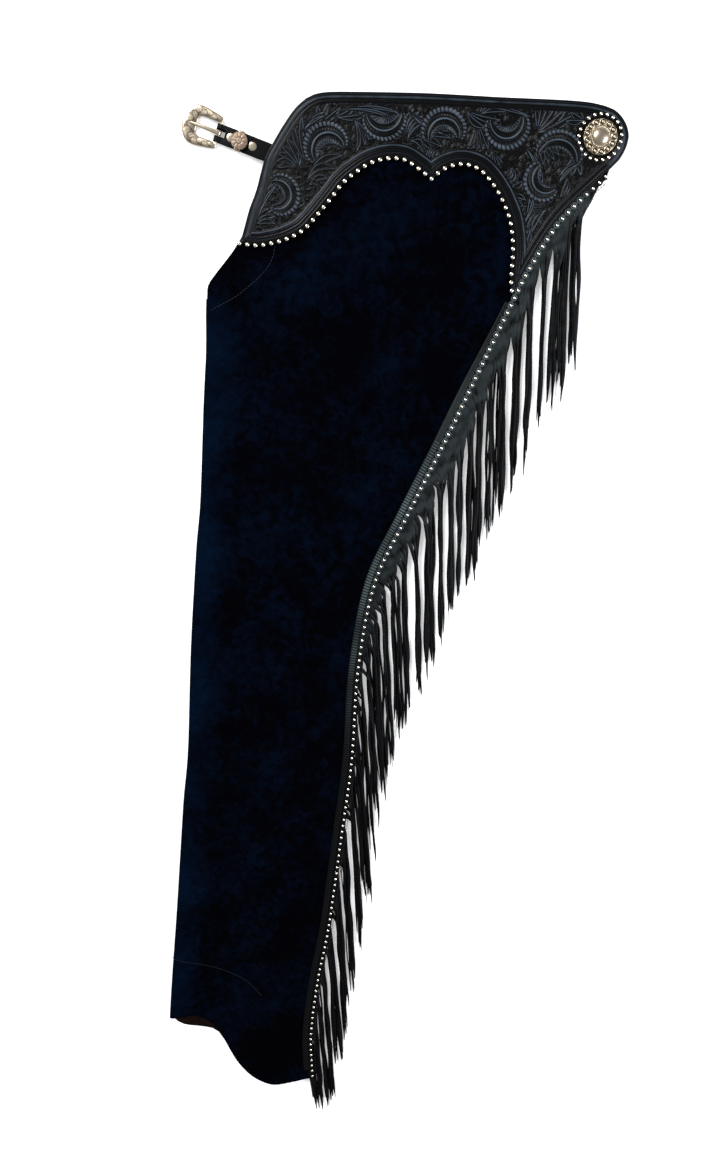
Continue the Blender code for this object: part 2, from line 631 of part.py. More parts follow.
def buckle_tongue(material, hinge):
    """The tongue, hooked round the bar and lying on the frame's outer end."""
    radius = BAR_RADIUS + GAP + TONGUE_THICKNESS / 2
    hook = [(radius * math.cos(angle), BAR_Z + radius * math.sin(angle), TONGUE_HOOK_HALF_WIDTH)
            for angle in np.radians(np.arange(300, 89, -30))]
    line = np.array([*hook, *TONGUE_SHAFT])
    normal = -side_normals(line) * TONGUE_THICKNESS / 2
    rings = []
    for (a, z, half), (lift_a, lift_z) in zip(line, normal):
        corners = [(a - lift_a, -half, z - lift_z), (a - lift_a, half, z - lift_z),
                   (a + lift_a, half, z + lift_z), (a + lift_a, -half, z + lift_z)]
        rings.append([strap_place(*corner) for corner in corners])
    return add_object("buckle_tongue", *tube(np.array(rings), closed=False), material, parent=hinge)


def keeper_outline(grow):
    """Corners of the keeper's inside, moved out by grow, as places across the strap and heights."""
    width = STRAP_WIDTH / 2 + KEEPER_CLEAR + grow
    bottom, top = STRAP_BOTTOM - KEEPER_CLEAR - grow, STRAP_TOP + KEEPER_CLEAR + grow
    corner = KEEPER_CORNER + grow / 2
    return [(width, bottom + corner), (width, top - corner), (width - corner, top),
            (corner - width, top), (-width, top - corner), (-width, bottom + corner),
            (corner - width, bottom), (width - corner, bottom)]


def strap_keeper(material):
    """A metal loop that slides on the doubled strap."""
    front, back = KEEPER_ALONG + KEEPER_HALF_LENGTH, KEEPER_ALONG - KEEPER_HALF_LENGTH
    rings = []
    for inside, outside in zip(keeper_outline(0.0), keeper_outline(KEEPER_WALL)):
        rings.append([strap_place(front, *inside), strap_place(back, *inside),
                      strap_place(back, *outside), strap_place(front, *outside)])
    return add_object("strap_keeper", *tube(np.array(rings), closed=True), material, smooth_angle=30)


def main():
    for old in list(bpy.data.objects):
        bpy.data.objects.remove(old, do_unlink=True)

    suede = finish("black_suede", (0.012, 0.014, 0.02), 0.95)
    tooled = finish("tooled_leather", (0.02, 0.022, 0.028), 0.42)
    fringe_leather = finish("fringe_leather", (0.014, 0.015, 0.017), 0.5)
    strap_leather = finish("strap_leather", (0.008, 0.008, 0.009), 0.5)
    silver = finish("nickel_silver", (0.62, 0.57, 0.5), 0.28, 1.0)
    zip_tape = finish("zip_tape", (0.02, 0.02, 0.022), 0.7)

    hidden_leg(suede)
    leg_panel(suede)
    yoke_base = PANEL_TOP_YOKE + GAP
    yoke_plate("yoke", yoke_grid(8, 22, 18, 10), yoke_base, YOKE_LEATHER, tooled)
    yoke_plate("hidden_yoke", yoke_grid(6, 15, 13, 7), 0.0, HIDDEN_YOKE_LEATHER, tooled)

    upper = (upper_root_level, UPPER_STRAND_LEVEL, fringe_leather)
    fringe("yoke_fringe", YOKE_FRINGE_STRETCH, WIDE_LANES, *upper)
    fringe("thigh_fringe", THIGH_FRINGE_STRETCH, WIDE_LANES, *upper)
    fringe("calf_fringe", CALF_FRINGE_STRETCH, NARROW_LANES, *upper)
    fringe("hidden_fringe", HIDDEN_FRINGE_STRETCH, SPARSE_LANES, hidden_root_level, GAP, fringe_leather)
    seam_strip("seam_piping", PIPING_STRETCH, PIPING_EDGE, PIPING_HEIGHT, 12, tooled)
    seam_strip("zip_band", ZIP_STRETCH, ZIP_EDGE, ZIP_HEIGHT, 44, zip_tape)

    concho_seat = yoke_base + YOKE_LEATHER + GAP
    disc("concho", (CONCHO_X, CONCHO_Y, concho_seat), CONCHO_PROFILE, 24, silver)

    hinge = bpy.data.objects.new("buckle_bar_axis", None)
    hinge.location = (BAR_X * MM, BAR_Y * MM, BAR_Z * MM)
    bpy.context.scene.collection.objects.link(hinge)
    buckle_frame(silver, hinge)
    buckle_tongue(silver, hinge)
    front_strap(strap_leather)
    billet_strap(strap_leather)
    strap_keeper(silver)
    rosette_seat = STRAP_TOP + KEEPER_CLEAR + KEEPER_WALL + GAP
    disc("keeper_rosette", strap_place(KEEPER_ALONG, 0.0, rosette_seat), ROSETTE_PROFILE, 18, silver)


main()
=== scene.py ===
"""Western show chaps: the finished surface of every piece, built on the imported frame.

Sizes are millimetres, turned into metres where a mesh is made. x runs towards the back of the
chaps, y towards the waist and z up from the surface they lie on. A shape is a function of two
parameters on a grid, a profile carried along a line, or a small form repeated along one, and
is worked out as whole arrays.
"""
import logging
import math
from dataclasses import dataclass
from enum import Enum
from typing import NamedTuple, Sequence

import bmesh
import bpy
import numpy as np
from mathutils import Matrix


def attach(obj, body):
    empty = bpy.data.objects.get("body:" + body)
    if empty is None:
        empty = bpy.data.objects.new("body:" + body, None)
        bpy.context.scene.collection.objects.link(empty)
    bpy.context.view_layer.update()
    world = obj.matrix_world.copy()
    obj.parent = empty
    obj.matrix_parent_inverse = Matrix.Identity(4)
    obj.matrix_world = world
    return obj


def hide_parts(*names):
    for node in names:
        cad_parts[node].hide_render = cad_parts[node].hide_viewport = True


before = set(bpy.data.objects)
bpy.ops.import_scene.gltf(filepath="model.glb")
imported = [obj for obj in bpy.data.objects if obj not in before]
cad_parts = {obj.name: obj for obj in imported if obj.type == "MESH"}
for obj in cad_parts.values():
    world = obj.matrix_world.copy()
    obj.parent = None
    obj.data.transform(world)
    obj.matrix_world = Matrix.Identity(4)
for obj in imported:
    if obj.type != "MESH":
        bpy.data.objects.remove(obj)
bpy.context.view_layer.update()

log = logging.getLogger("chaps")

MM = 0.001
Array = np.ndarray
Faces = list[Array]
Material = bpy.types.Material
Piece = bpy.types.Object
Random = np.random.Generator
Socket = bpy.types.NodeSocket


# Driving sizes, as in the part's own source

GAP = 0.3
SUEDE = 1.4
FRINGE_LEATHER = 1.2
YOKE_LEATHER = 2.6
HIDDEN_YOKE_LEATHER = 2.4
HIDDEN_PILE = 3.2
LAYER_GAP = 0.5
PANEL_TOP_LEG = 6.9
PANEL_TOP_YOKE = 7.6
RAMP_START_Y, RAMP_END_Y = 330.0, 392.0
FOLD_LIFT, FOLD_REACH, FOLD_ROUND = 2.2, 30.0, 3.0
CROTCH_SHARE = 0.80
YOKE_TO_SEAM = 3.2
YOKE_BASE = PANEL_TOP_YOKE + GAP
YOKE_TOP_LEVEL = YOKE_BASE + YOKE_LEATHER

BAR_X, BAR_Y, BAR_Z = -147.7, 556.9, 3.5
STRAP_ANGLE = math.radians(159.5)
BAR_RADIUS = 1.5
STRAP_WIDTH, STRAP_LEATHER = 17.0, 1.4
UPPER_PLY_LEVEL, LOWER_PLY_LEVEL = 6.85, 5.15
STRAP_TOP = UPPER_PLY_LEVEL + STRAP_LEATHER / 2
KEEPER_ALONG = -22.0
CONCHO_X, CONCHO_Y = 221.0, 552.5


class Point(NamedTuple):
    """A place in plan."""

    x: float
    y: float


class SeamPoint(NamedTuple):
    """A place on the seam, and how its strands hang there."""

    x: float
    y: float
    lean: float
    turn: float
    length: float


def table(kind: type, *rows: Sequence[float]) -> tuple:
    """A table whose rows are each one named tuple of the given kind."""
    return tuple(kind(*row) for row in rows)


# The seam under the row of studs, waist to hem. A strand leaves square to it and turns down over
# the distance turn. Lean is how far it then hangs from straight down, in degrees
SEAM = table(
    SeamPoint, (229, 517, 1.0, 8, 172), (187, 476, 0.5, 9, 172), (158, 430, 0.5, 12, 176),
    (142, 397, 0.5, 16, 182), (112, 332, 0.8, 22, 188), (78, 258, 1.0, 26, 190),
    (38, 176, 1.8, 30, 198), (5, 103, 2.8, 32, 206), (-13, 3, 3.6, 30, 206),
    (-20, -105, 3.6, 28, 200), (-33, -209, 3.4, 26, 194), (-49, -330, 3.4, 24, 192),
    (-63, -406, 3.6, 24, 184), (-72, -484, 4.0, 18, 104), (-71, -545, 4.0, 7, 36)
)
FRONT_FOLD = table(
    Point, (-247, -459), (-241, -400), (-232, -320), (-222, -224), (-215, -157), (-207, -94),
    (-198, 28), (-187, 141), (-180, 197), (-172, 301), (-167, 352), (-163.8, 402), (-162.4, 415),
    (-156, 424.5), (-143, 440), (-135, 450)
)
FRONT_UNDER_YOKE = table(
    Point, (-122, 470), (-112, 490), (-100, 507), (-84, 521), (-79, 546), (-70, 568), (-58, 580)
)
TOP_UNDER_YOKE = table(
    Point, (-58, 580), (-39, 586), (54, 586), (123, 582), (181, 580), (228, 571)
)
BACK_UNDER_YOKE = table(
    Point, (231, 521), (236, 534), (239, 546), (237, 560), (228, 571)
)
OUTER_HEM = table(
    Point, (-247, -459), (-222, -456), (-205, -460), (-190, -473), (-181, -491), (-167, -522),
    (-152, -543), (-137, -555), (-120, -561), (-98, -557), (-80, -552), (-70, -550)
)
INNER_HEM = table(
    Point, (-248, -461), (-232, -470), (-210, -473), (-191, -478), (-180, -495), (-168, -515),
    (-152, -534), (-135, -547), (-118, -553), (-97, -550), (-82, -546), (-73, -544)
)
YOKE_FRONT = table(
    Point, (-130, 455), (-125.5, 468), (-119.5, 487), (-112, 505), (-103.5, 532), (-94.5, 548),
    (-82.5, 566), (-72, 579), (-62, 587)
)
YOKE_TOP = table(
    Point, (-62, 587), (-52, 591), (-38, 592.6), (-10, 592.6), (54, 591.4), (123, 588),
    (181, 585.6), (208, 583.6), (224, 580.5)
)
YOKE_ARCH_FRONT = table(
    Point, (-130, 455), (-112, 453), (-96, 455.5), (-82, 459.5), (-68, 466.5), (-56.5, 477),
    (-37, 499), (-27, 511), (-14, 521), (0, 529), (16, 533), (32, 532), (46, 524), (59, 514.5)
)
YOKE_ARCH_BACK = table(
    Point, (59, 514.5), (72, 524), (88, 528), (104, 524), (115.5, 514), (125, 501.5),
    (132, 488.5), (137, 476), (140, 460), (141, 444), (140.3, 430), (140.5, 415), (142.5, 405)
)
YOKE_TIP = table(
    Point, (234, 525), (242, 533.5), (247.5, 545), (248.5, 556), (244, 567), (235, 576),
    (224, 580.5)
)


# Curves and grids

def distance_along(line: Array) -> Array:
    """Distance along a line in plan, point by point."""
    steps = np.hypot(*np.diff(line[:, :2], axis=0).T)
    return np.concatenate([[0.0], np.cumsum(steps)])


def at_distances(line: Array, wanted: Array) -> Array:
    """Rows of a line, read at distances along it."""
    run = distance_along(line)
    return np.column_stack([np.interp(wanted, run, column) for column in line.T])


def evenly(line: Array, count: int) -> Array:
    """The same line with its points a like distance apart."""
    return at_distances(line, np.linspace(0, distance_along(line)[-1], count))


def smooth_line(rows: Sequence, count: int) -> Array:
    """Evenly spaced points on a smooth curve through the rows of a table.

    Each span between two rows is the cubic that leaves and meets them along the direction from
    the row before to the row after.

    Args:
        rows: the table, x and y first and any further columns after them.
        count: how many points to give.

    Returns:
        An array with a row for each point and the table's columns.
    """
    given = np.array(rows, float)
    ends = np.vstack([2 * given[0] - given[1], given, 2 * given[-1] - given[-2]])
    a, b, c, d = (ends[first:len(ends) - 3 + first][:, None] for first in range(4))
    share = np.linspace(0, 1, 12, endpoint=False)[None, :, None]
    spans = b + 0.5 * share * ((c - a) + share * ((2 * a - 5 * b + 4 * c - d)
                                                  + share * (3 * b - a - 3 * c + d)))
    return evenly(np.vstack([spans.reshape(-1, given.shape[1]), given[-1:]]), count)


def directions(line: Array) -> Array:
    """Unit vectors along a line in plan."""
    along = np.gradient(line[:, :2], axis=0)
    return along / np.linalg.norm(along, axis=1)[:, None]


def full_turn(count: int) -> Array:
    """Angles a like step apart, once round."""
    return np.linspace(0, 2 * math.pi, count, endpoint=False)


def dome(share: Array) -> Array:
    """Half a circle over -1 to 1, and 0 beyond."""
    return np.sqrt(np.clip(1 - share ** 2, 0, 1))


def squarer(value: Array, power: Array | float) -> Array:
    """A sine or cosine drawn towards -1 and 1 by a power below 1, which squares a round section."""
    return np.sign(value) * np.abs(value) ** power


def right_of(line: Array) -> Array:
    """Unit vectors square to a line in plan, on its right hand as it is walked."""
    along = directions(line)
    return np.column_stack([along[:, 1], -along[:, 0]])


def patch(left: Array, right: Array, bottom: Array, top: Array) -> Array:
    """Grid of points between four edges that meet at their corners.

    It is the sum of the two grids ruled between facing edges, less the one ruled between the
    four corners.

    Args:
        left, right: the side edges, from the bottom up.
        bottom, top: the end edges, from left to right.

    Returns:
        The grid, row by row.
    """
    u = np.linspace(0, 1, len(bottom))[None, :, None]
    v = np.linspace(0, 1, len(left))[:, None, None]
    between_sides = (1 - u) * left[:, None] + u * right[:, None]
    between_ends = (1 - v) * bottom[None] + v * top[None]
    corners = ((1 - u) * (1 - v) * bottom[0] + u * (1 - v) * bottom[-1]
               + (1 - u) * v * top[0] + u * v * top[-1])
    return between_sides + between_ends - corners


def ease(value: Array | float, start: Array | float, end: Array | float) -> Array:
    """Rises smoothly from 0 at start to 1 at end."""
    share = np.clip((np.asarray(value, float) - start) / (np.asarray(end) - start), 0, 1)
    return share * share * (3 - 2 * share)


def ripple(x: Array, y: Array, length: float, seed: int) -> Array:
    """Smooth irregular field of about -1 to 1: six sine waves in random directions, summed.

    Args:
        x, y: places in plan.
        length: the usual wavelength.
        seed: chooses the waves.

    Returns:
        The field at each place.
    """
    source = np.random.default_rng(seed)
    angle, phase = source.uniform(0, 2 * math.pi, (2, 6))
    number = 2 * math.pi / (length * source.uniform(0.7, 1.5, 6))
    across = x[..., None] * np.cos(angle) + y[..., None] * np.sin(angle)
    return np.sin(across * number + phase).sum(axis=-1) / 3.2


def distance_to(x: Array, y: Array, line: Array) -> Array:
    """Distance from each point of a grid to the nearest point of a line in plan.

    Args:
        x, y: places in plan.
        line: points close together.

    Returns:
        The distance at each place.
    """
    places = np.stack([x, y], axis=-1).astype(np.float32)
    nearest = np.full(x.shape, np.inf, np.float32)
    for part in np.array_split(line[:, :2].astype(np.float32), 12):
        apart = places[..., None, :] - part
        nearest = np.minimum(nearest, np.sqrt((apart ** 2).sum(axis=-1)).min(axis=-1))
    return nearest


def seam_line(count: int = 1601) -> Array:
    """The seam's table as a smooth line from waist to hem."""
    return smooth_line(SEAM, count)


def hidden_top(y: Array) -> Array:
    """Height of the under leg's top, which steps up over the under yoke."""
    over_yoke = HIDDEN_YOKE_LEATHER + GAP + SUEDE
    return HIDDEN_PILE + (over_yoke - HIDDEN_PILE) * ease(y, RAMP_START_Y, RAMP_END_Y)


def panel_top(y: Array) -> Array:
    """Height of the upper suede's top face where nothing creases it."""
    return PANEL_TOP_LEG + (PANEL_TOP_YOKE - PANEL_TOP_LEG) * ease(y, RAMP_START_Y, RAMP_END_Y)


# Meshes

def grid_faces(rows: int, columns: int, closed_rows: bool = False,
               closed_columns: bool = False) -> Array:
    """Four-sided faces of a grid of points numbered row by row.

    Args:
        rows, columns: the grid's size.
        closed_rows, closed_columns: join the last to the first.

    Returns:
        Four point numbers for each face.
    """
    number = np.arange(rows * columns).reshape(rows, columns)
    if closed_rows:
        number = np.vstack([number, number[:1]])
    if closed_columns:
        number = np.hstack([number, number[:, :1]])
    faces = np.stack([number[:-1, :-1], number[:-1, 1:], number[1:, 1:], number[1:, :-1]], -1)
    return faces.reshape(-1, 4)


def tube_faces(rings: int, sides: int) -> Faces:
    """Faces of a tube of rings, with a cap at either end.

    Args:
        rings: how many rings.
        sides: points in each.

    Returns:
        The wall and the two caps.
    """
    last = (rings - 1) * sides
    caps = np.array([np.arange(sides)[::-1], last + np.arange(sides)])
    return [grid_faces(rings, sides, closed_columns=True), caps]


def repeat_form(form: Array, faces: Faces, places: Array,
                along: Array) -> tuple[Array, Faces]:
    """Repeats one small form at many places, turned to face along a line.

    A copy's point is its place, plus the form's x along the line, its y to the left and its z up.

    Args:
        form: the form's points.
        faces: its faces.
        places: one place for each copy.
        along: one direction in plan for each copy.

    Returns:
        The points and faces of all the copies.
    """
    flat = np.column_stack([along, np.zeros(len(along))])
    left = np.column_stack([-along[:, 1], along[:, 0], np.zeros(len(along))])
    up = np.array([0.0, 0.0, 1.0])
    points = (places[:, None] + form[None, :, :1] * flat[:, None]
              + form[None, :, 1:2] * left[:, None] + form[None, :, 2:] * up)
    first = np.arange(len(places))[:, None, None] * len(form)
    blocks = [(block[None] + first).reshape(-1, block.shape[1]) for block in faces]
    return points.reshape(-1, 3), blocks


def turned_form(profile: Sequence[tuple[float, float]], sides: int) -> tuple[Array, Faces]:
    """A turned piece: each row of its profile, a radius and a height, is one ring.

    Args:
        profile: the rows, from the foot up.
        sides: points in each ring.

    Returns:
        The form's points and faces.
    """
    angle = full_turn(sides)
    rows = np.array(profile, float)
    rings = np.stack([rows[:, :1] * np.cos(angle), rows[:, :1] * np.sin(angle),
                      np.repeat(rows[:, 1:], sides, axis=1)], axis=-1)
    return rings.reshape(-1, 3), tube_faces(len(rows), sides)


def stitch_form(length: float, width: float, height: float) -> tuple[Array, Faces]:
    """One stitch: a thread that comes up, lies along the line and goes down again.

    Args:
        length, width, height: its size.

    Returns:
        The stitch's points and faces.
    """
    share = np.linspace(-1, 1, 6)[:, None]
    angle = full_turn(6)[None]
    swell = np.sqrt(1 - 0.86 * share ** 2)
    rings = np.stack([share * length / 2 + 0 * angle, np.cos(angle) * swell * width / 2,
                      (0.5 + 0.5 * np.sin(angle)) * swell * height], axis=-1)
    return rings.reshape(-1, 3), tube_faces(6, 6)


def add_piece(name: str, points: Array, faces: Faces, material: Material, body: str,
              replaces: Sequence[str] = (), sharp: float = 50.0,
              marks: dict[str, Array] | None = None,
              normals: Array | None = None) -> Piece:
    """Makes one mesh piece, hangs it on its body and hides the imported nodes that it stands for.

    Args:
        name: the piece's name.
        points: its points in millimetres.
        faces: blocks of faces, each block an array of point numbers.
        material: its finish.
        body: the body that it rides on.
        replaces: the imported nodes that it stands for, which are hidden.
        sharp: the angle past which an edge is left sharp, in degrees.
        marks: named values for each point, which the finishes read.
        normals: each point's normal, where a joint between two pieces has to be smooth.

    Returns:
        The new object.
    """
    mesh = bpy.data.meshes.new(name)
    mesh.from_pydata((points.reshape(-1, 3) * MM).tolist(), [],
                     [face for block in faces for face in block.tolist()])
    for mark, values in (marks or {}).items():
        layer = mesh.attributes.new(mark, "FLOAT", "POINT")
        layer.data.foreach_set("value", np.ascontiguousarray(values, np.float32).ravel())
    mesh.materials.append(material)
    mesh.shade_smooth()
    mesh.set_sharp_from_angle(angle=math.radians(sharp))
    if normals is not None:
        mesh.normals_split_custom_set_from_vertices(normals.tolist())
    piece = bpy.data.objects.new(name, mesh)
    bpy.context.scene.collection.objects.link(piece)
    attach(piece, body)
    if replaces:
        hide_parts(*replaces)
    log.info("%s: %d faces", name, len(mesh.polygons))
    return piece


def tidy_mesh(piece: Piece, merge: float = 0.0) -> None:
    """Merges points that meet, where a distance is given, and turns every face outwards.

    Args:
        piece: the piece.
        merge: the distance, or 0.
    """
    shape = bmesh.new()
    shape.from_mesh(piece.data)
    if merge:
        bmesh.ops.remove_doubles(shape, verts=shape.verts, dist=merge * MM)
    bmesh.ops.recalc_face_normals(shape, faces=shape.faces)
    shape.to_mesh(piece.data)
    shape.free()


def add_wall(piece: Piece, thickness: float, inside: Material | None = None) -> None:
    """Gives a sheet its thickness, half to either side, with a second finish on its inside.

    Args:
        piece: the sheet.
        thickness: its thickness.
        inside: the second finish, if any.
    """
    wall = piece.modifiers.new("wall", "SOLIDIFY")
    wall.thickness = thickness * MM
    wall.offset = 0.0
    if inside is not None:
        piece.data.materials.append(inside)
        wall.material_offset = 1


# Finishes

def linear(hex_color: str) -> tuple[float, float, float, float]:
    """An sRGB hex colour as linear red, green, blue and alpha.

    Args:
        hex_color: the colour as #rrggbb.

    Returns:
        The four numbers.
    """
    shares = np.array([int(hex_color[place:place + 2], 16) for place in (1, 3, 5)]) / 255
    low = shares / 12.92
    high = ((shares + 0.055) / 1.055) ** 2.4
    return (*np.where(shares <= 0.04045, low, high).tolist(), 1.0)


def add_node(tree: bpy.types.NodeTree, kind: str, inputs: dict | None = None,
             **settings: object) -> bpy.types.Node:
    """Adds a node, sets it, and fills or links its inputs.

    Args:
        tree: the material's node tree.
        kind: the node's type.
        inputs: value or output socket for each input, by name or number.
        settings: the node's own properties.

    Returns:
        The node.
    """
    node = tree.nodes.new(kind)
    for key, value in settings.items():
        setattr(node, key, value)
    for key, value in (inputs or {}).items():
        if isinstance(value, Socket):
            tree.links.new(value, node.inputs[key])
        else:
            node.inputs[key].default_value = value
    return node


def per_mm(size: float) -> float:
    """Scale of a pattern whose repeat is the given size in millimetres."""
    return 1.0 / (size * MM)


class Surface:
    """A material in the making: one Principled shader and the nodes that feed it."""

    def __init__(self, name: str, **constants: object) -> None:
        """Starts the material.

        Args:
            name: its name.
            constants: the shader's own sockets, with _ for a space.
        """
        self.material = bpy.data.materials.new(name)
        self.material.use_nodes = True
        self.tree = self.material.node_tree
        self.shader = self.tree.nodes["Principled BSDF"]
        for key, value in constants.items():
            self.shader.inputs[key.replace("_", " ")].default_value = value
        self.place = add_node(self.tree, "ShaderNodeTexCoord").outputs["Object"]

    def pattern(self, kind: str, size: float, inputs: dict | None = None, output: str = "Fac",
                **settings: object) -> Socket:
        """A pattern laid out in the object's own coordinates.

        Args:
            kind: the texture node's type, after ShaderNodeTex.
            size: the pattern's repeat in millimetres.
            inputs: values for its other inputs.
            output: the output to read.
            settings: the node's own properties.

        Returns:
            The output socket.
        """
        inputs = {"Vector": self.place, "Scale": per_mm(size), **(inputs or {})}
        return add_node(self.tree, "ShaderNodeTex" + kind, inputs, **settings).outputs[output]

    def mark(self, name: str) -> Socket:
        """The value that the mesh holds for each point under a name."""
        return add_node(self.tree, "ShaderNodeAttribute", attribute_name=name).outputs["Fac"]

    def combine(self, operation: str, *values: Socket | float) -> Socket:
        """One step of arithmetic on the values."""
        return add_node(self.tree, "ShaderNodeMath", dict(enumerate(values)),
                        operation=operation).outputs[0]

    def spread(self, value: Socket, low: float, high: float) -> Socket:
        """The value stretched so that low becomes 0 and high becomes 1."""
        return add_node(self.tree, "ShaderNodeMapRange", {"Value": value, "From Min": low,
                                                          "From Max": high}).outputs["Result"]

    def colour(self, share: Socket, low: str, high: str) -> None:
        """Colours the surface from one hex colour, where the share is 0, to another."""
        mix = add_node(self.tree, "ShaderNodeMix", {"Factor": share, "A": linear(low),
                                                    "B": linear(high)}, data_type="RGBA")
        self.tree.links.new(mix.outputs["Result"], self.shader.inputs["Base Color"])

    def bump(self, height: Socket, strength: float, depth: float) -> None:
        """Gives the surface its fine relief, to a depth in millimetres."""
        bump = add_node(self.tree, "ShaderNodeBump", {"Height": height, "Strength": strength,
                                                      "Distance": depth * MM})
        self.tree.links.new(bump.outputs["Normal"], self.shader.inputs["Normal"])


@dataclass(frozen=True)
class SplitSuede:
    """Chrome-tanned split cowhide, dyed black and napped: matt, lighter in random patches and in a
    painted sheen along the front fold.
    """

    name: str = "napped_split_suede"
    nap: str = "#010103"
    raised_nap_and_sheen: str = "#020b1a"
    sheen: str = "#2c445e"
    mottle: float = 42.0
    stroke: float = 9.0
    fibre: float = 0.9

    def build(self) -> Material:
        """Makes the material.

        Returns:
            The material.
        """
        surface = Surface(self.name, Roughness=0.95, Sheen_Weight=0.01, Sheen_Roughness=0.45,
                          Sheen_Tint=linear(self.sheen), Specular_IOR_Level=0.01)
        mottle = surface.pattern("Noise", self.mottle, {"Detail": 5.0, "Roughness": 0.62})
        stroke = surface.pattern("Noise", self.stroke, {"Detail": 3.0, "Distortion": 0.8})
        fibre = surface.pattern("Noise", self.fibre, {"Detail": 2.0})
        both = surface.combine("MULTIPLY", mottle, stroke)
        # Lighter in random patches and in the painted sheen along the front fold
        mottle_and_sheen = surface.combine("ADD", both, surface.mark("nap_patches_and_fold_sheen"))
        surface.colour(surface.spread(mottle_and_sheen, 0.2, 0.62), self.nap, self.raised_nap_and_sheen)
        surface.bump(fibre, 0.5, 0.25)
        return surface.material


@dataclass(frozen=True)
class SmoothLeather:
    """Aniline-dyed chap leather, grain side out: satin, finely creased, lighter by its mark: rubbed
    edges, and painted sheen on the fringe's web.
    """

    name: str
    deep: str
    rubbed_and_sheen: str
    mark: str
    roughness: float = 0.5
    shine: float = 0.13
    grain: float = 0.8
    crease: float = 5.0

    def build(self) -> Material:
        """Makes the material.

        Returns:
            The material.
        """
        surface = Surface(self.name, Roughness=self.roughness, Specular_IOR_Level=self.shine)
        grain = surface.pattern("Voronoi", self.grain, output="Distance",
                                feature="DISTANCE_TO_EDGE")
        crease = surface.pattern("Noise", self.crease, {"Detail": 4.0, "Distortion": 1.0})
        # The mark lightens the colour: rubbed edges on the strap, and painted sheen on the fringe
        share = surface.combine("MULTIPLY_ADD", crease, 0.7, surface.mark(self.mark))
        surface.colour(surface.spread(share, 0.42, 1.3), self.deep, self.rubbed_and_sheen)
        surface.bump(surface.combine("MULTIPLY_ADD", grain, 0.6, crease), 0.35, 0.3)
        return surface.material


@dataclass(frozen=True)
class CarvedLeather:
    """Vegetable-tanned skirting leather, carved and waxed: antiqued dark in the cuts, with a
    painted sheen on top.
    """

    name: str = "carved_skirting_leather"
    cut: str = "#010101"
    middle: str = "#040507"
    buffed_and_sheen: str = "#46515c"
    matting: float = 1.1
    cloud: float = 14.0

    def build(self) -> Material:
        """Makes the material: three colours by depth, and a matted ground low down.

        Returns:
            The material.
        """
        surface = Surface(self.name, Roughness=0.3, Specular_IOR_Level=0.12)
        depth = surface.mark("relief")
        cloud = surface.pattern("Noise", self.cloud, {"Detail": 4.0})
        low_depth = surface.combine("MULTIPLY", depth, 0.75)
        uneven = surface.combine("MULTIPLY_ADD", cloud, 0.25, low_depth)
        # Colour by depth: antique dark in the cuts, and a painted sheen that lightens the raised
        # tooling
        ramp = add_node(surface.tree, "ShaderNodeValToRGB", {"Fac": uneven})
        steps = ramp.color_ramp.elements
        steps[0].position, steps[0].color = 0.2, linear(self.cut)
        steps[1].position, steps[1].color = 0.93, linear(self.buffed_and_sheen)
        middle = steps.new(0.64)
        middle.color = linear(self.middle)
        surface.tree.links.new(ramp.outputs["Color"], surface.shader.inputs["Base Color"])
        matting = surface.pattern("Voronoi", self.matting, output="Distance")
        low = surface.spread(depth, 0.45, 0.2)
        surface.bump(surface.combine("MULTIPLY", matting, low), 0.6, 0.4)
        return surface.material


@dataclass(frozen=True)
class CastSilver:
    """Nickel silver, cast and polished: warm, bright where its mark is high and dark where it is
    low: tarnish in the hollows, painted shade on the studs and the buckle.
    """

    name: str
    bright: str
    tarnish_and_shade: str
    roughness: float = 0.2
    cloud: float = 3.0

    def build(self) -> Material:
        """Makes the material.

        Returns:
            The material.
        """
        surface = Surface(self.name, Metallic=1.0, Roughness=self.roughness)
        cloud = surface.pattern("Noise", self.cloud, {"Detail": 3.0})
        uneven = surface.combine("MULTIPLY_ADD", cloud, 0.3, surface.mark("relief"))
        surface.colour(surface.spread(uneven, 0.2, 0.9), self.tarnish_and_shade, self.bright)
        surface.bump(cloud, 0.15, 0.1)
        return surface.material


@dataclass(frozen=True)
class WovenNylon:
    """Nylon zip coil on woven tape, or bonded nylon thread: dull sheen and a fine rib."""

    name: str
    shade: str
    lit: str
    rib: float = 0.6

    def build(self) -> Material:
        """Makes the material.

        Returns:
            The material.
        """
        surface = Surface(self.name, Roughness=0.6, Specular_IOR_Level=0.08)
        surface.colour(surface.mark("lit"), self.shade, self.lit)
        rib = surface.pattern("Wave", self.rib * 20, {"Distortion": 0.5},
                              bands_direction="DIAGONAL")
        surface.bump(rib, 0.3, 0.1)
        return surface.material


@dataclass(frozen=True)
class OpalAcrylic:
    """Matt opal acrylic of a still-life table, lit faintly from below."""

    name: str = "matt_opal_acrylic"
    shade: str = "#f4f4f4"
    light: str = "#f7f7f7"
    haze: float = 4.0

    def build(self) -> Material:
        """Makes the material.

        Returns:
            The material.
        """
        surface = Surface(self.name, Roughness=0.9, Specular_IOR_Level=0.1,
                          Emission_Color=linear(self.shade), Emission_Strength=0.4)
        surface.colour(surface.pattern("Noise", self.haze), self.shade, self.light)
        return surface.material


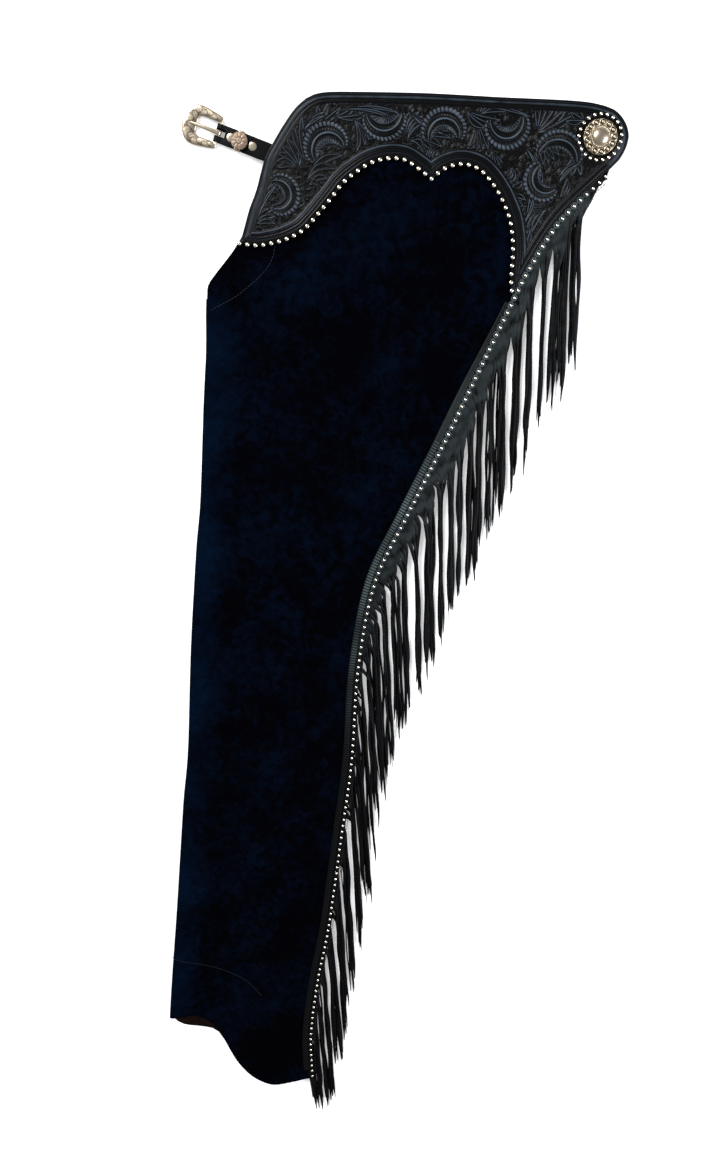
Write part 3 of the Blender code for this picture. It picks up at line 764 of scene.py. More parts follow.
@dataclass(frozen=True)
class Wardrobe:
    """Every finish of the chaps, made once."""

    suede: Material
    suede_inside: Material
    tooled: Material
    fringe: Material
    strap: Material
    silver: Material
    studs: Material
    rose: Material
    zip: Material
    thread: Material

    @classmethod
    def build(cls) -> "Wardrobe":
        """Makes all the materials.

        Returns:
            The wardrobe.
        """
        return cls(
            suede=SplitSuede().build(),
            suede_inside=SplitSuede(name="suede_inside", nap="#0c0706", raised_nap_and_sheen="#241511",
                                    sheen="#4a3a34").build(),
            tooled=CarvedLeather().build(),
            fringe=SmoothLeather("drawn_fringe_leather", "#020203", "#212627", "rubbed_and_sheen",
                                 shine=0.08).build(),
            strap=SmoothLeather("harness_strap_leather", "#010102", "#08090b", "rubbed_and_sheen",
                                shine=0.08).build(),
            silver=CastSilver("cast_nickel_silver", "#b1a591", "#2c231a", roughness=0.3).build(),
            studs=CastSilver("nickel_silver_studs", "#f2e9d8", "#0d0b08", roughness=0.16).build(),
            rose=CastSilver("rose_nickel_silver", "#857466", "#3c3027", roughness=0.48).build(),
            zip=WovenNylon("nylon_zip_coil", "#030405", "#4a5557").build(),
            thread=WovenNylon("bonded_nylon_thread", "#07080b", "#2c333d", rib=0.3).build(),
        )


# The suede legs

class Layer(Enum):
    """Which leg of the folded pair."""

    UPPER = "upper"
    UNDER = "under"


class Crease(NamedTuple):
    """A soft crease: its ends, how wide and high it is, and how far it bows to the left."""

    x0: float
    y0: float
    x1: float
    y1: float
    width: float
    height: float
    bow: float


CREASES = table(
    Crease, (-186, 118, -92, 152, 9, 0.7, 5), (-190, 92, -120, 100, 7, -0.5, -4),
    (-178, 60, -60, 118, 12, 0.5, 9), (-60, 330, 40, 232, 13, 0.5, -8),
    (30, 390, 90, 300, 12, 0.45, 6), (-150, 300, -70, 372, 11, 0.4, 7),
    (-206, -120, -120, -96, 10, 0.6, 4), (-120, -60, -40, -112, 9, -0.4, 5),
    (-222, -260, -130, -232, 11, 0.5, -5), (-160, -330, -70, -300, 10, 0.45, 6),
    (-236, -352, -150, -338, 8, -0.4, 3), (-170, -440, -95, -470, 10, 0.5, -5),
    (-20, 420, 60, 440, 14, 0.35, 6), (-120, 410, -60, 440, 11, 0.3, -4)
)


def creases(x: Array, y: Array) -> Array:
    """Height of all the creases: each is a bell across a bowed line that fades at its ends.

    Args:
        x, y: places in plan.

    Returns:
        The height at each place.
    """
    total = np.zeros(x.shape)
    for crease in CREASES:
        run = np.array([crease.x1 - crease.x0, crease.y1 - crease.y0])
        length = float(np.hypot(*run))
        along = ((x - crease.x0) * run[0] + (y - crease.y0) * run[1]) / length ** 2
        across = ((y - crease.y0) * run[0] - (x - crease.x0) * run[1]) / length
        off = (across - 4 * crease.bow * along * (1 - along)) / crease.width
        ends = ease(along, -0.15, 0.3) * (1 - ease(along, 0.7, 1.15))
        total += crease.height * np.exp(-off ** 2) * ends
    return total


def folds(x: Array, y: Array) -> Array:
    """Height of the broad folds pressed into the upper suede.

    Args:
        x, y: places in plan.

    Returns:
        The height at each place.
    """
    knee = 1.1 * np.exp(-((y - 0.35 * x - 120) / 26) ** 2) * ease(x, -60, -150)
    shin = 0.8 * np.exp(-((y + 0.5 * x + 150) / 34) ** 2) * ease(x, -205, -120)
    thigh = 0.9 * np.exp(-((x + 0.25 * y - 10) / 30) ** 2) * ease(y, 60, 200)
    ankle = 0.9 * np.exp(-((y + 0.3 * x + 430) / 30) ** 2)
    return knee + shin + thigh + ankle


@dataclass(frozen=True)
class SuedeLeg:
    """One leg: a tube of suede pressed flat, with a fold down its front and a seam behind."""

    wardrobe: Wardrobe
    layer: Layer
    rows: int = 250
    columns: int = 90
    fold_steps: int = 9
    inner_columns: int = 24
    opening_rows: int = 26
    cut_width: float = 640.0
    cut_length: float = 1150.0

    def side_plan(self, hem: Sequence[Point], columns: int, seam_inset: float,
                  front_inset: float) -> Array:
        """Plan of one side, from the hem up and from the front fold back.

        Args:
            hem: the side's lower edge.
            columns: points from front to back.
            seam_inset, front_inset: how far its edges lie in from the seam and the fold.

        Returns:
            The grid in plan.
        """
        seam = seam_line()
        edge = seam[:, :2] + right_of(seam) * seam_inset
        back = np.vstack([edge[::-1], np.array(BACK_UNDER_YOKE, float)[1:]])
        front = np.array(FRONT_FOLD + FRONT_UNDER_YOKE, float)
        front[:, 0] += front_inset
        hem_line = smooth_line(hem, columns)
        hem_line[0], hem_line[-1] = front[0], back[0]
        top_line = smooth_line(TOP_UNDER_YOKE, columns)
        top_line[0], top_line[-1] = front[-1], back[-1]
        return patch(smooth_line(front, self.rows), evenly(back, self.rows), hem_line, top_line)

    def levels(self, x: Array, y: Array, from_front: Array,
               from_back: Array) -> Array:
        """Mid-height of the side that faces out: the upper leg's top, or the under leg's bottom.

        Args:
            x, y: places in plan.
            from_front, from_back: distances from the side's two edges.

        Returns:
            The height at each place.
        """
        if self.layer is Layer.UNDER:
            return SUEDE / 2 + (HIDDEN_YOKE_LEATHER + GAP) * ease(y, RAMP_START_Y, RAMP_END_Y)
        folded = 1 - ease(y[:, :1], 380, 440)
        window = ease(from_back, 12, 60) * (1 - ease(y, RAMP_START_Y - 30, RAMP_END_Y - 20))
        pressed = ease(from_back, 8, 40) * ease(from_front, 2, 26)
        return (panel_top(y) - SUEDE / 2 + folds(x, y) * window + creases(x, y) * pressed
                + folded * FOLD_LIFT * (1 - ease(from_front, 4, FOLD_REACH)))

    def build(self) -> None:
        """Makes the leg, as one sheet with a wall.

        The sheet runs from the seam over the outer side to the front, round a half ellipse and
        back over the inner side. Above the crotch only the outer side goes on.
        """
        upper = self.layer is Layer.UPPER
        insets = (-1.5, -0.5, 0.0) if upper else (4.2, 4.2, 2.0)
        outer_hem = OUTER_HEM if upper else INNER_HEM
        outer = self.side_plan(outer_hem, self.columns, insets[0], insets[2])
        inner = self.side_plan(INNER_HEM, self.inner_columns, insets[1], insets[2])
        width = np.linalg.norm(outer[:, -1] - outer[:, 0], axis=1)[:, None]
        share = np.linspace(0, 1, self.columns)[None]
        from_front, from_back = share * width, (1 - share) * width
        x, y = outer[..., 0], outer[..., 1]
        height = self.levels(x, y, from_front, from_back)
        crotch = int(CROTCH_SHARE * self.rows)
        folded = 1 - ease(np.arange(self.rows), crotch - self.opening_rows, crotch)[:, None]
        full_reach = FOLD_ROUND if upper else 0.9
        shift = folded * full_reach - (1 - folded) * SUEDE / 2
        reach = (shift + full_reach) / 2
        outer = np.dstack([x + shift * (1 - ease(from_front, 0, FOLD_REACH)), y, height])
        inner_front = np.linspace(0, 1, self.inner_columns)[None] * width
        inner_level = (hidden_top(inner[..., 1])
                       + (LAYER_GAP + SUEDE / 2 if upper else -SUEDE / 2))
        inner = np.dstack([inner[..., 0] + full_reach * (1 - ease(inner_front, 0, FOLD_REACH)),
                           inner[..., 1], inner_level])
        turn = np.linspace(math.pi / 2, 3 * math.pi / 2, self.fold_steps + 2)[1:-1]
        middle = (outer[:, :1] + inner[:, :1]) / 2
        half = (outer[:, :1] - inner[:, :1]) / 2
        bend = np.dstack([reach * np.cos(turn) + half[..., 0] * np.sin(turn),
                          half[..., 1] * np.sin(turn), half[..., 2] * np.sin(turn)])
        sheet = np.concatenate([outer[:, ::-1], middle + bend, inner], axis=1)
        across = sheet.shape[1]
        faces = grid_faces(self.rows, across).reshape(self.rows - 1, across - 1, 4)
        kept = np.concatenate([faces[:crotch].reshape(-1, 4),
                               faces[crotch:, :self.columns - 1].reshape(-1, 4)])
        if upper:
            kept = kept[:, ::-1]
        used, renumbered = np.unique(kept, return_inverse=True)
        points = sheet.reshape(-1, 3)[used]
        turned = self.nap_patches_and_fold_sheen(sheet).ravel()[used]
        leg = add_piece(f"{self.layer.value}_leg_suede", points, [renumbered.reshape(kept.shape)],
                        self.wardrobe.suede, "chaps",
                        ["leg_panel" if upper else "hidden_leg"], marks={"nap_patches_and_fold_sheen": turned})
        add_wall(leg, SUEDE, self.wardrobe.suede_inside)

    def nap_patches_and_fold_sheen(self, sheet: Array) -> Array:
        """How much lighter the nap is: a painted sheen along the front fold, and random patches.

        Args:
            sheet: the sheet's points.

        Returns:
            A share for each point.
        """
        x, y = sheet[..., 0], sheet[..., 1]
        front = np.interp(y, [point.y for point in FRONT_FOLD], [point.x for point in FRONT_FOLD])
        # Painted sheen along the front fold, below the crotch
        painted_fold_sheen = 0.3 * (1 - ease(x - front, 6, 46)) * (1 - ease(y, 380, 440))
        return painted_fold_sheen * (0.75 + 0.25 * ripple(x, y, 90, 5)) + 0.07 * ripple(x, y, 130, 8)


# The tooled yoke

class Scroll(NamedTuple):
    """An acanthus scroll round its eye. Angles are degrees, a sweep below 0 runs clockwise."""

    x: float
    y: float
    radius: float
    start: float
    sweep: float
    tighten: float
    outer: float
    inner: float
    lobes: int


class Fan(NamedTuple):
    """Curved finger leaves that spread from one point, first to last."""

    x: float
    y: float
    first: float
    last: float
    count: int
    first_length: float
    last_length: float
    bow: float
    width: float


class Step(NamedTuple):
    """Height of a border at a distance in from the edge."""

    inward: float
    height: float


SCROLLS = table(
    Scroll, (-91, 500, 14.0, 118, -236, 0.10, 9.5, 10.0, 20),
    (-41, 541, 16.5, 220, -210, 0.06, 10.5, 11.5, 22),
    (13, 575, 17.5, 186, 172, 0.05, 9.5, 13.0, 19),
    (71, 554, 16.0, 200, -214, 0.08, 10.5, 10.5, 22),
    (131, 567, 16.5, 176, 200, 0.06, 10.5, 11.0, 20),
    (181, 531, 20.0, 160, -168, 0.05, 9.5, 9.0, 19),
    (171, 515, 14.0, 112, 206, 0.06, 9.5, 9.5, 17)
)
FANS = table(
    Fan, (-114, 473, 74, 2, 5, 27, 20, 2.5, 4.2), (-104, 488, 128, 66, 3, 13, 18, 1.5, 3.6),
    (-70, 524, 178, 98, 6, 20, 33, -3.5, 4.4), (-63, 528, 108, 80, 3, 46, 44, 2.0, 4.2),
    (-62, 513, 33, 22, 2, 42, 29, 7.0, 5.4), (-60, 508, 22, 4, 2, 20, 9, 4.0, 4.6),
    (-56, 562, 76, 32, 3, 19, 32, -3.0, 4.2), (-36, 571, 22, 4, 2, 22, 34, -3.0, 4.0),
    (-17, 569, -66, -84, 2, 27, 30, 4.0, 3.6), (-14, 574, 30, 8, 2, 17, 20, -2.0, 4.0),
    (35, 549, 78, 44, 4, 30, 26, 4.5, 4.0), (36, 548, 4, -34, 4, 42, 17, 6.0, 4.6),
    (-4, 549, 60, 20, 3, 10, 13, 2.0, 3.8), (100, 566, -104, -62, 5, 23, 28, 3.0, 4.0),
    (92, 577, -16, -42, 3, 34, 24, -4.0, 4.6), (104, 572, 34, 6, 3, 15, 28, 3.0, 4.0),
    (158, 556, 92, 24, 6, 22, 42, -3.0, 4.6), (118, 541, -50, -86, 4, 15, 17, -2.5, 4.2),
    (155, 543, -2, -52, 5, 32, 20, 5.0, 4.4), (196, 536, -66, -120, 3, 20, 17, 2.0, 4.2),
    (150, 514, 152, 206, 5, 17, 14, 2.0, 4.4), (153, 494, 196, 158, 3, 13, 15, -2.0, 4.0),
    (174, 488, 186, 236, 5, 28, 27, -3.0, 4.2), (157, 470, 238, 262, 2, 20, 19, 1.5, 3.6),
    (184, 497, 40, 68, 3, 15, 20, -2.0, 4.0), (206, 568, 128, 184, 3, 13, 19, 2.0, 4.0),
    (138, 526, -96, -140, 3, 16, 13, 2.0, 4.0), (60, 531, 118, 62, 4, 11, 11, 1.0, 4.0),
    (-112, 474, 62, 58, 2, 52, 46, 4.0, 2.6), (-66, 556, 40, 34, 2, 30, 28, 3.0, 2.6),
    (-30, 576, -4, -10, 2, 62, 58, 5.0, 2.6), (36, 576, -24, -30, 2, 46, 42, -4.0, 2.6),
    (96, 580, -4, -10, 2, 66, 60, 3.0, 2.6), (146, 546, -60, -66, 2, 44, 40, 5.0, 2.6),
    (206, 530, -150, -140, 2, 26, 30, -3.0, 2.6), (148, 470, 76, 70, 2, 30, 34, -3.0, 2.6)
)
OUTER_BORDER = table(
    Step, (0.0, -1.3), (0.5, -0.5), (1.2, -0.15), (1.7, -0.4), (2.5, -0.4), (3.0, -0.05),
    (3.5, 0.2), (4.6, 0.35), (5.7, 0.2), (6.4, -0.5), (7.2, -0.5), (7.8, 0.05), (8.6, 0.15),
    (9.2, -0.1), (9.8, -0.6)
)
ARCH_BORDER = table(
    Step, (0.0, -0.9), (0.7, -0.3), (2.0, -0.1), (4.6, -0.1), (5.1, -0.35), (6.0, -0.35),
    (6.6, 0.0), (7.6, 0.1), (8.2, -0.35), (8.9, -0.35), (9.4, 0.1), (10.2, 0.15), (10.8, -0.25),
    (11.4, 0.3), (12.1, 0.45), (12.9, 0.25), (13.6, -0.6)
)
SEAM_BORDER = table(
    Step, (0.0, -0.9), (0.8, -0.5), (2.0, -0.45), (2.8, -0.2), (3.4, 0.0), (4.2, -0.25),
    (5.2, -0.5), (6.6, -0.4), (7.4, -0.05), (8.2, -0.1), (9.0, -0.6), (9.6, -0.65)
)

CUT_DEPTH = -0.75
NOT_HERE = -9.0
NARROW_LEAF = 3.2


def scroll_relief(scroll: Scroll, x: Array, y: Array) -> Array:
    """Height of one scroll, and NOT_HERE away from it.

    In polar terms round the eye, t is the share of the sweep, q the distance outside the crest
    and p the same with the scroll's taper taken out. The crest is a thin rib with a cut on either
    side. Outside it come a band of fine leaning ticks and a row of round lobes. Inside it come a
    smooth hollow, a fine rib and a row of short feathers.

    Args:
        scroll: the scroll.
        x, y: places in plan.

    Returns:
        The height at each place.
    """
    away = np.hypot(x - scroll.x, y - scroll.y)
    angle = np.degrees(np.arctan2(y - scroll.y, x - scroll.x))
    sense = 1 if scroll.sweep > 0 else -1
    t = ((angle - scroll.start) * sense % 360) / abs(scroll.sweep)
    q = away - scroll.radius * (1 - scroll.tighten * t)
    body = np.clip(np.sin(math.pi * np.clip(t, 0, 1)), 0, 1) ** 0.4
    p = q / np.maximum(body, 0.15)
    arc = scroll.radius * math.radians(abs(scroll.sweep))

    tick = np.abs(np.sin(math.pi * (arc / 2.4 * t - 0.16 * q)))
    ticks = -0.3 + 0.4 * tick
    lobe = np.abs(np.sin(math.pi * (scroll.lobes * t - 0.03 * q)))
    edge = scroll.outer * (0.8 + 0.2 * np.sqrt(lobe))
    way_out = np.clip((p - 4.9) / np.maximum(edge - 4.9, 0.3), 0, 1)
    lobes = -0.1 + 0.65 * lobe ** 0.7 * dome(2 * way_out - 1.1)
    feather = np.abs(np.sin(math.pi * (scroll.lobes * 0.6 * t + 0.1 * q)))
    inner_edge = -scroll.inner * (0.8 + 0.2 * np.sqrt(feather))
    feathers = -0.2 + 0.6 * feather ** 0.7
    hollow = -0.6 + 0.09 * (p + 3.6) ** 2

    bands = (
        (inner_edge - 0.7, inner_edge, CUT_DEPTH), (inner_edge, -6.6, feathers), (-6.6, -5.7, 0.35),
        (-5.7, -1.2, hollow), (-1.2, 0.8, 0.6 - 0.35 * (p + 0.2) ** 2), (0.8, 1.4, CUT_DEPTH),
        (1.4, 4.3, ticks), (4.3, 4.9, CUT_DEPTH), (4.9, edge, lobes), (edge, edge + 0.7, CUT_DEPTH),
    )
    height = np.full(x.shape, NOT_HERE)
    for low, high, shape in bands:
        height = np.where((p >= low) & (p < high), shape, height)
    return np.where((t > 0.004) & (t < 0.996), height, NOT_HERE)


def leaf_relief(x: Array, y: Array, base: Point, angle: float, length: float, bow: float,
                width: float) -> Array:
    """Height of one finger leaf with the cut round it, and NOT_HERE away from it.

    Its midline is a parabola bowed off the straight way from base to tip. A broad leaf is a thin
    raised rim round a hollow, widest past the middle. A narrow one is a plain rib.

    Args:
        x, y: places in plan.
        base: where it starts.
        angle: its heading in degrees.
        length: from base to tip.
        bow: how far it bows to the left.
        width: its greatest width.

    Returns:
        The height at each place.
    """
    cosine, sine = math.cos(math.radians(angle)), math.sin(math.radians(angle))
    along = ((x - base.x) * cosine + (y - base.y) * sine) / length
    across = (y - base.y) * cosine - (x - base.x) * sine
    share = np.clip(along, 0, 1)
    off = np.abs(across - 4 * bow * share * (1 - share))
    half = width / 2 * np.clip(np.sin(math.pi * share ** 1.35), 0, 1) ** 0.65
    if width < NARROW_LEAF:
        shape = 0.1 - 0.5 * (off / np.maximum(half, 0.2)) ** 2
    else:
        shape = -0.5 + 1.1 * np.exp(-((half - off - 0.8) / 0.62) ** 2)
    height = np.where(off < half, shape, CUT_DEPTH)
    return np.where((along > 0) & (along < 1) & (off < half + 0.5), height, NOT_HERE)


@dataclass(frozen=True)
class Yoke:
    """A yoke of thick leather, its outer face carved with leaves inside a rolled border."""

    wardrobe: Wardrobe
    layer: Layer
    rows: int = 200
    front_columns: int = 430
    back_columns: int = 230
    seam_columns: int = 205
    seam_side_from: float = 409.0
    ground: float = -0.75
    relief_top: float = 0.6
    sprig_pitch: float = 8.0
    stitch: tuple[float, float, float] = (1.9, 0.8, 0.6)
    stitch_pitch: float = 2.15
    outer_row: float = 2.1
    arch_row: float = -5.6
    seam_row: float = -3.6
    plumpness: float = 1.35

    def edges(self) -> dict[str, Array]:
        """The yoke's five edges as lines, each named for its border.

        Returns:
            The lines by name.
        """
        seam = seam_line()
        beside = seam[seam[:, 1] > self.seam_side_from]
        along_seam = beside[::-1, :2] + right_of(beside)[::-1] * YOKE_TO_SEAM
        front_arch = smooth_line(YOKE_ARCH_FRONT, self.front_columns)
        back_arch = smooth_line(YOKE_ARCH_BACK, self.back_columns)
        tip = smooth_line(YOKE_TIP, self.rows)
        seam_side = evenly(np.vstack([back_arch[-1:], along_seam, tip[:1]]), self.seam_columns)
        count = self.front_columns + self.back_columns + self.seam_columns - 2
        return {"front": smooth_line(YOKE_FRONT, self.rows), "tip": tip, "front_arch": front_arch,
                "back_arch": back_arch, "seam_side": seam_side, "top": smooth_line(YOKE_TOP, count)}

    def plan(self, edges: dict[str, Array]) -> Array:
        """Plan of the yoke: arches and seam below, front, top and round tip."""
        below = np.vstack([edges["front_arch"], edges["back_arch"][1:], edges["seam_side"][1:]])
        return patch(edges["front"], edges["tip"], below, edges["top"])

    def carving(self, x: Array, y: Array, edges: dict[str, Array]) -> Array:
        """Height of the outer face: the border nearest by its own width, or the leaves inside it.

        Args:
            x, y: places in plan.
            edges: the yoke's edges.

        Returns:
            The height at each place.
        """
        outline = np.vstack([edges["front"], edges["top"], edges["tip"]])
        arches = np.vstack([edges["front_arch"], edges["back_arch"]])
        sides = ((outline, OUTER_BORDER), (arches, ARCH_BORDER), (edges["seam_side"], SEAM_BORDER))
        shares, heights = [], []
        for line, border in sides:
            steps = np.array(border)
            inward = distance_to(x, y, line)
            shares.append(inward / steps[-1, 0])
            heights.append(np.interp(inward, steps[:, 0], steps[:, 1]))
        nearest = np.argmin(shares, axis=0)
        border = np.take_along_axis(np.array(heights), nearest[None], axis=0)[0]
        inside = np.min(shares, axis=0)
        leaves = self.leaves(x, y)
        return np.where(inside < 1, border, np.where(inside < 1.06, -0.6, leaves))

    def leaves(self, x: Array, y: Array) -> Array:
        """Height of the carved leaves and scrolls over their matted ground.

        Args:
            x, y: places in plan.

        Returns:
            The height at each place.
        """
        height = self.ground + 0.05 * np.sin(x * 5.7) * np.sin(y * 5.7 + x)
        for fan in (*self.sprigs(x, y), *FANS):
            span = max(fan.first_length, fan.last_length) + 3
            near = (np.abs(x - fan.x) < span) & (np.abs(y - fan.y) < span)
            here_x, here_y, here = x[near], y[near], height[near]
            for share in np.linspace(0, 1, fan.count):
                angle = fan.first + (fan.last - fan.first) * share
                length = fan.first_length + (fan.last_length - fan.first_length) * share
                leaf = leaf_relief(here_x, here_y, Point(fan.x, fan.y), angle, length, fan.bow,
                                   fan.width * self.plumpness)
                here = np.where(leaf > NOT_HERE, leaf, here)
            height[near] = here
        for scroll in SCROLLS:
            near = np.hypot(x - scroll.x, y - scroll.y) < scroll.radius + scroll.outer + 2
            shape = scroll_relief(scroll, x[near], y[near])
            height[near] = np.where(shape > NOT_HERE, shape, height[near])
        return np.clip(height, -0.85, self.relief_top)

    def sprigs(self, x: Array, y: Array) -> list[Fan]:
        """Small sprigs that fill the ground, on a jittered grid and turned by a wandering field.

        Args:
            x, y: the grid that they have to cover.

        Returns:
            Each sprig as a small fan.
        """
        source = np.random.default_rng(21)
        across, up = np.meshgrid(np.arange(x.min(), x.max(), self.sprig_pitch),
                                 np.arange(y.min(), y.max(), self.sprig_pitch))
        across = across + source.uniform(-1.6, 1.6, across.shape)
        up = up + source.uniform(-1.6, 1.6, up.shape)
        turn = 80 + 150 * ripple(across, up, 70, 17)
        size = source.uniform(6.5, 9.5, up.shape)
        return [Fan(a, b, heading - 30, heading + 30, 2, length, length, 0.9, 1.8)
                for a, b, heading, length in zip(across.flat, up.flat, turn.flat, size.flat)]

    def face_normals(self, face: Array) -> Array:
        """Normals of the carved face, tipped outwards round its rim as if it were rolled.

        Args:
            face: the carved face.

        Returns:
            A unit vector at each point.
        """
        normal = np.cross(np.gradient(face, axis=1), np.gradient(face, axis=0))
        normal /= np.linalg.norm(normal, axis=2, keepdims=True)
        normal[0] += (0, -0.8, 0)
        normal[-1] += (0, 0.8, 0)
        normal[:, 0] += (-0.8, 0, 0)
        normal[:, -1] += (0.8, 0, 0)
        return normal / np.linalg.norm(normal, axis=2, keepdims=True)

    def build(self) -> None:
        """Makes the yoke, the upper one as two plates that meet under the cusp of its arches."""
        edges = self.edges()
        grid = self.plan(edges)
        relief = self.carving(grid[..., 0], grid[..., 1], edges)
        upper = self.layer is Layer.UPPER
        thickness = YOKE_LEATHER if upper else HIDDEN_YOKE_LEATHER - self.relief_top
        face = np.dstack([grid, thickness + relief])
        normals = self.face_normals(face)
        if not upper:
            self.plate("under_yoke_carved", face, normals, thickness)
            return
        joint = self.front_columns - 1
        self.plate("upper_yoke_front", face[:, :joint + 1], normals[:, :joint + 1], thickness)
        self.plate("upper_yoke_back", face[:, joint:], normals[:, joint:], thickness)

    def plate(self, name: str, face: Array, normals: Array, thickness: float) -> None:
        """Closes one plate: the carved face, its rim and a flat back.

        Args:
            name: its name.
            face: its carved face.
            normals: the face's normals.
            thickness: its height before carving.
        """
        rows, columns = face.shape[:2]
        number = np.arange(rows * columns).reshape(rows, columns)
        rim = np.concatenate([number[0, :-1], number[:-1, -1], number[-1, :0:-1], number[:0:-1, 0]])
        flat = face.reshape(-1, 3)
        walls = [flat[rim] * (1, 1, 0) + (0, 0, level) for level in (thickness * 0.45, 0.0)]
        points = np.vstack([flat, *walls])
        around = np.roll(flat[rim], -1, axis=0) - np.roll(flat[rim], 1, axis=0)
        outward = np.column_stack([around[:, 1], -around[:, 0], np.zeros(len(rim))])
        outward /= np.linalg.norm(outward, axis=1)[:, None]
        directions_out = np.vstack([normals.reshape(-1, 3), outward, outward])
        ring = rows * columns + np.arange(len(rim))
        loops = [rim, ring, ring + len(rim)]
        sides = [np.column_stack([np.roll(a, -1), a, b, np.roll(b, -1)])
                 for a, b in zip(loops, loops[1:])]
        faces = [grid_faces(rows, columns), *sides, loops[-1][::-1][None]]
        if self.layer is Layer.UPPER:
            points[:, 2] += YOKE_BASE
        else:
            points[:, 2] = HIDDEN_YOKE_LEATHER - points[:, 2]
            directions_out[:, 2] *= -1
            faces = [block[:, ::-1] for block in faces]
        depth = np.concatenate([flat[:, 2] - thickness, np.full(2 * len(rim), -0.1)])
        add_piece(name, points, faces, self.wardrobe.tooled, "chaps",
                  ["yoke" if self.layer is Layer.UPPER else "hidden_yoke"], sharp=80,
                  marks={"relief": (depth + 0.85) / 1.45}, normals=directions_out)

    def stitching(self) -> None:
        """The thread sunk along the border: an open row near the edge and one over the arches."""
        edges = self.edges()
        rim = np.vstack([edges["front"], edges["top"][1:], edges["tip"][::-1][1:]])
        arches = np.vstack([edges["front_arch"], edges["back_arch"][1:]])
        rows = ((rim, self.outer_row), (arches, self.arch_row),
                (edges["seam_side"], self.seam_row))
        places, along = [], []
        for line, inset in rows:
            offset = line[:, :2] + right_of(line) * inset
            run = np.arange(3.0, distance_along(offset)[-1] - 3.0, self.stitch_pitch)
            line_at = at_distances(offset, run)
            places.append(np.column_stack([line_at, np.full(len(run), YOKE_TOP_LEVEL - 0.5)]))
            along.append(directions(line_at))
        form, faces = stitch_form(*self.stitch)
        points, blocks = repeat_form(form, faces, np.vstack(places), np.vstack(along))
        add_piece("yoke_stitching", points, blocks, self.wardrobe.thread, "chaps",
                  marks={"lit": np.full(len(points), 0.25)})


# Studs and the concho

STUD_PROFILE = (
    (1.0, -0.12), (1.0, 0.06), (0.93, 0.3), (0.8, 0.5), (0.6, 0.68), (0.35, 0.79), (0.12, 0.83),
)


@dataclass(frozen=True)
class Studs:
    """Domed studs set in rows: along the yoke's arches, down the seam and round the concho."""

    wardrobe: Wardrobe
    yoke_radius: float = 2.4
    yoke_pitch: float = 7.9
    seam_radius: float = 1.75
    seam_pitch: float = 7.94
    ring_radius: float = 20.6
    ring_count: int = 21
    ring_stud: float = 1.9
    arch_end: float = 5.0

    def row(self, name: str, places: Array, radius: float, sides: int) -> None:
        """One row of studs as a single piece: each is a turned dome on a thin seat.

        Args:
            name: the piece's name.
            places: the foot of each stud.
            radius: a stud's radius.
            sides: points round it.
        """
        profile = [(r * radius, z * radius) for r, z in STUD_PROFILE]
        form, faces = turned_form(profile, sides)
        along = np.tile([1.0, 0.0], (len(places), 1))
        points, blocks = repeat_form(form, faces, places, along)
        # Painted reflection: each dome is bright on top and nearly black low down, as if mirroring
        # the dark leather round it
        high = np.clip((form[:, 2] / radius - 0.3) * 2.0, 0, 1)
        add_piece(name, points, blocks, self.wardrobe.studs, "chaps", sharp=60,
                  marks={"relief": np.tile(high, len(places))})

    def build(self) -> None:
        """Makes the three rows."""
        edges = Yoke(self.wardrobe, Layer.UPPER).edges()
        arches = np.vstack([edges["front_arch"], edges["back_arch"][1:]])
        line = arches + right_of(arches) * -0.4
        line = line[distance_along(line) < distance_along(line)[-1] - self.arch_end]
        on_yoke = evenly(line, 1 + round(distance_along(line)[-1] / self.yoke_pitch))
        on_yoke = np.column_stack([on_yoke, np.full(len(on_yoke), YOKE_TOP_LEVEL - 0.35)])
        seam = seam_line()
        on_seam = evenly(seam, 1 + round(distance_along(seam)[-1] / self.seam_pitch))
        level = panel_top(on_seam[:, 1]) + GAP + FRINGE_LEATHER + 0.35
        on_seam = np.column_stack([on_seam[:, :2], level])
        angle = full_turn(self.ring_count) + 0.1
        ring = np.column_stack([CONCHO_X + self.ring_radius * np.cos(angle),
                                CONCHO_Y + self.ring_radius * np.sin(angle),
                                np.full(self.ring_count, YOKE_TOP_LEVEL - 0.1)])
        self.row("yoke_studs", on_yoke, self.yoke_radius, 20)
        self.row("seam_studs", on_seam, self.seam_radius, 14)
        self.row("concho_studs", ring, self.ring_stud, 18)


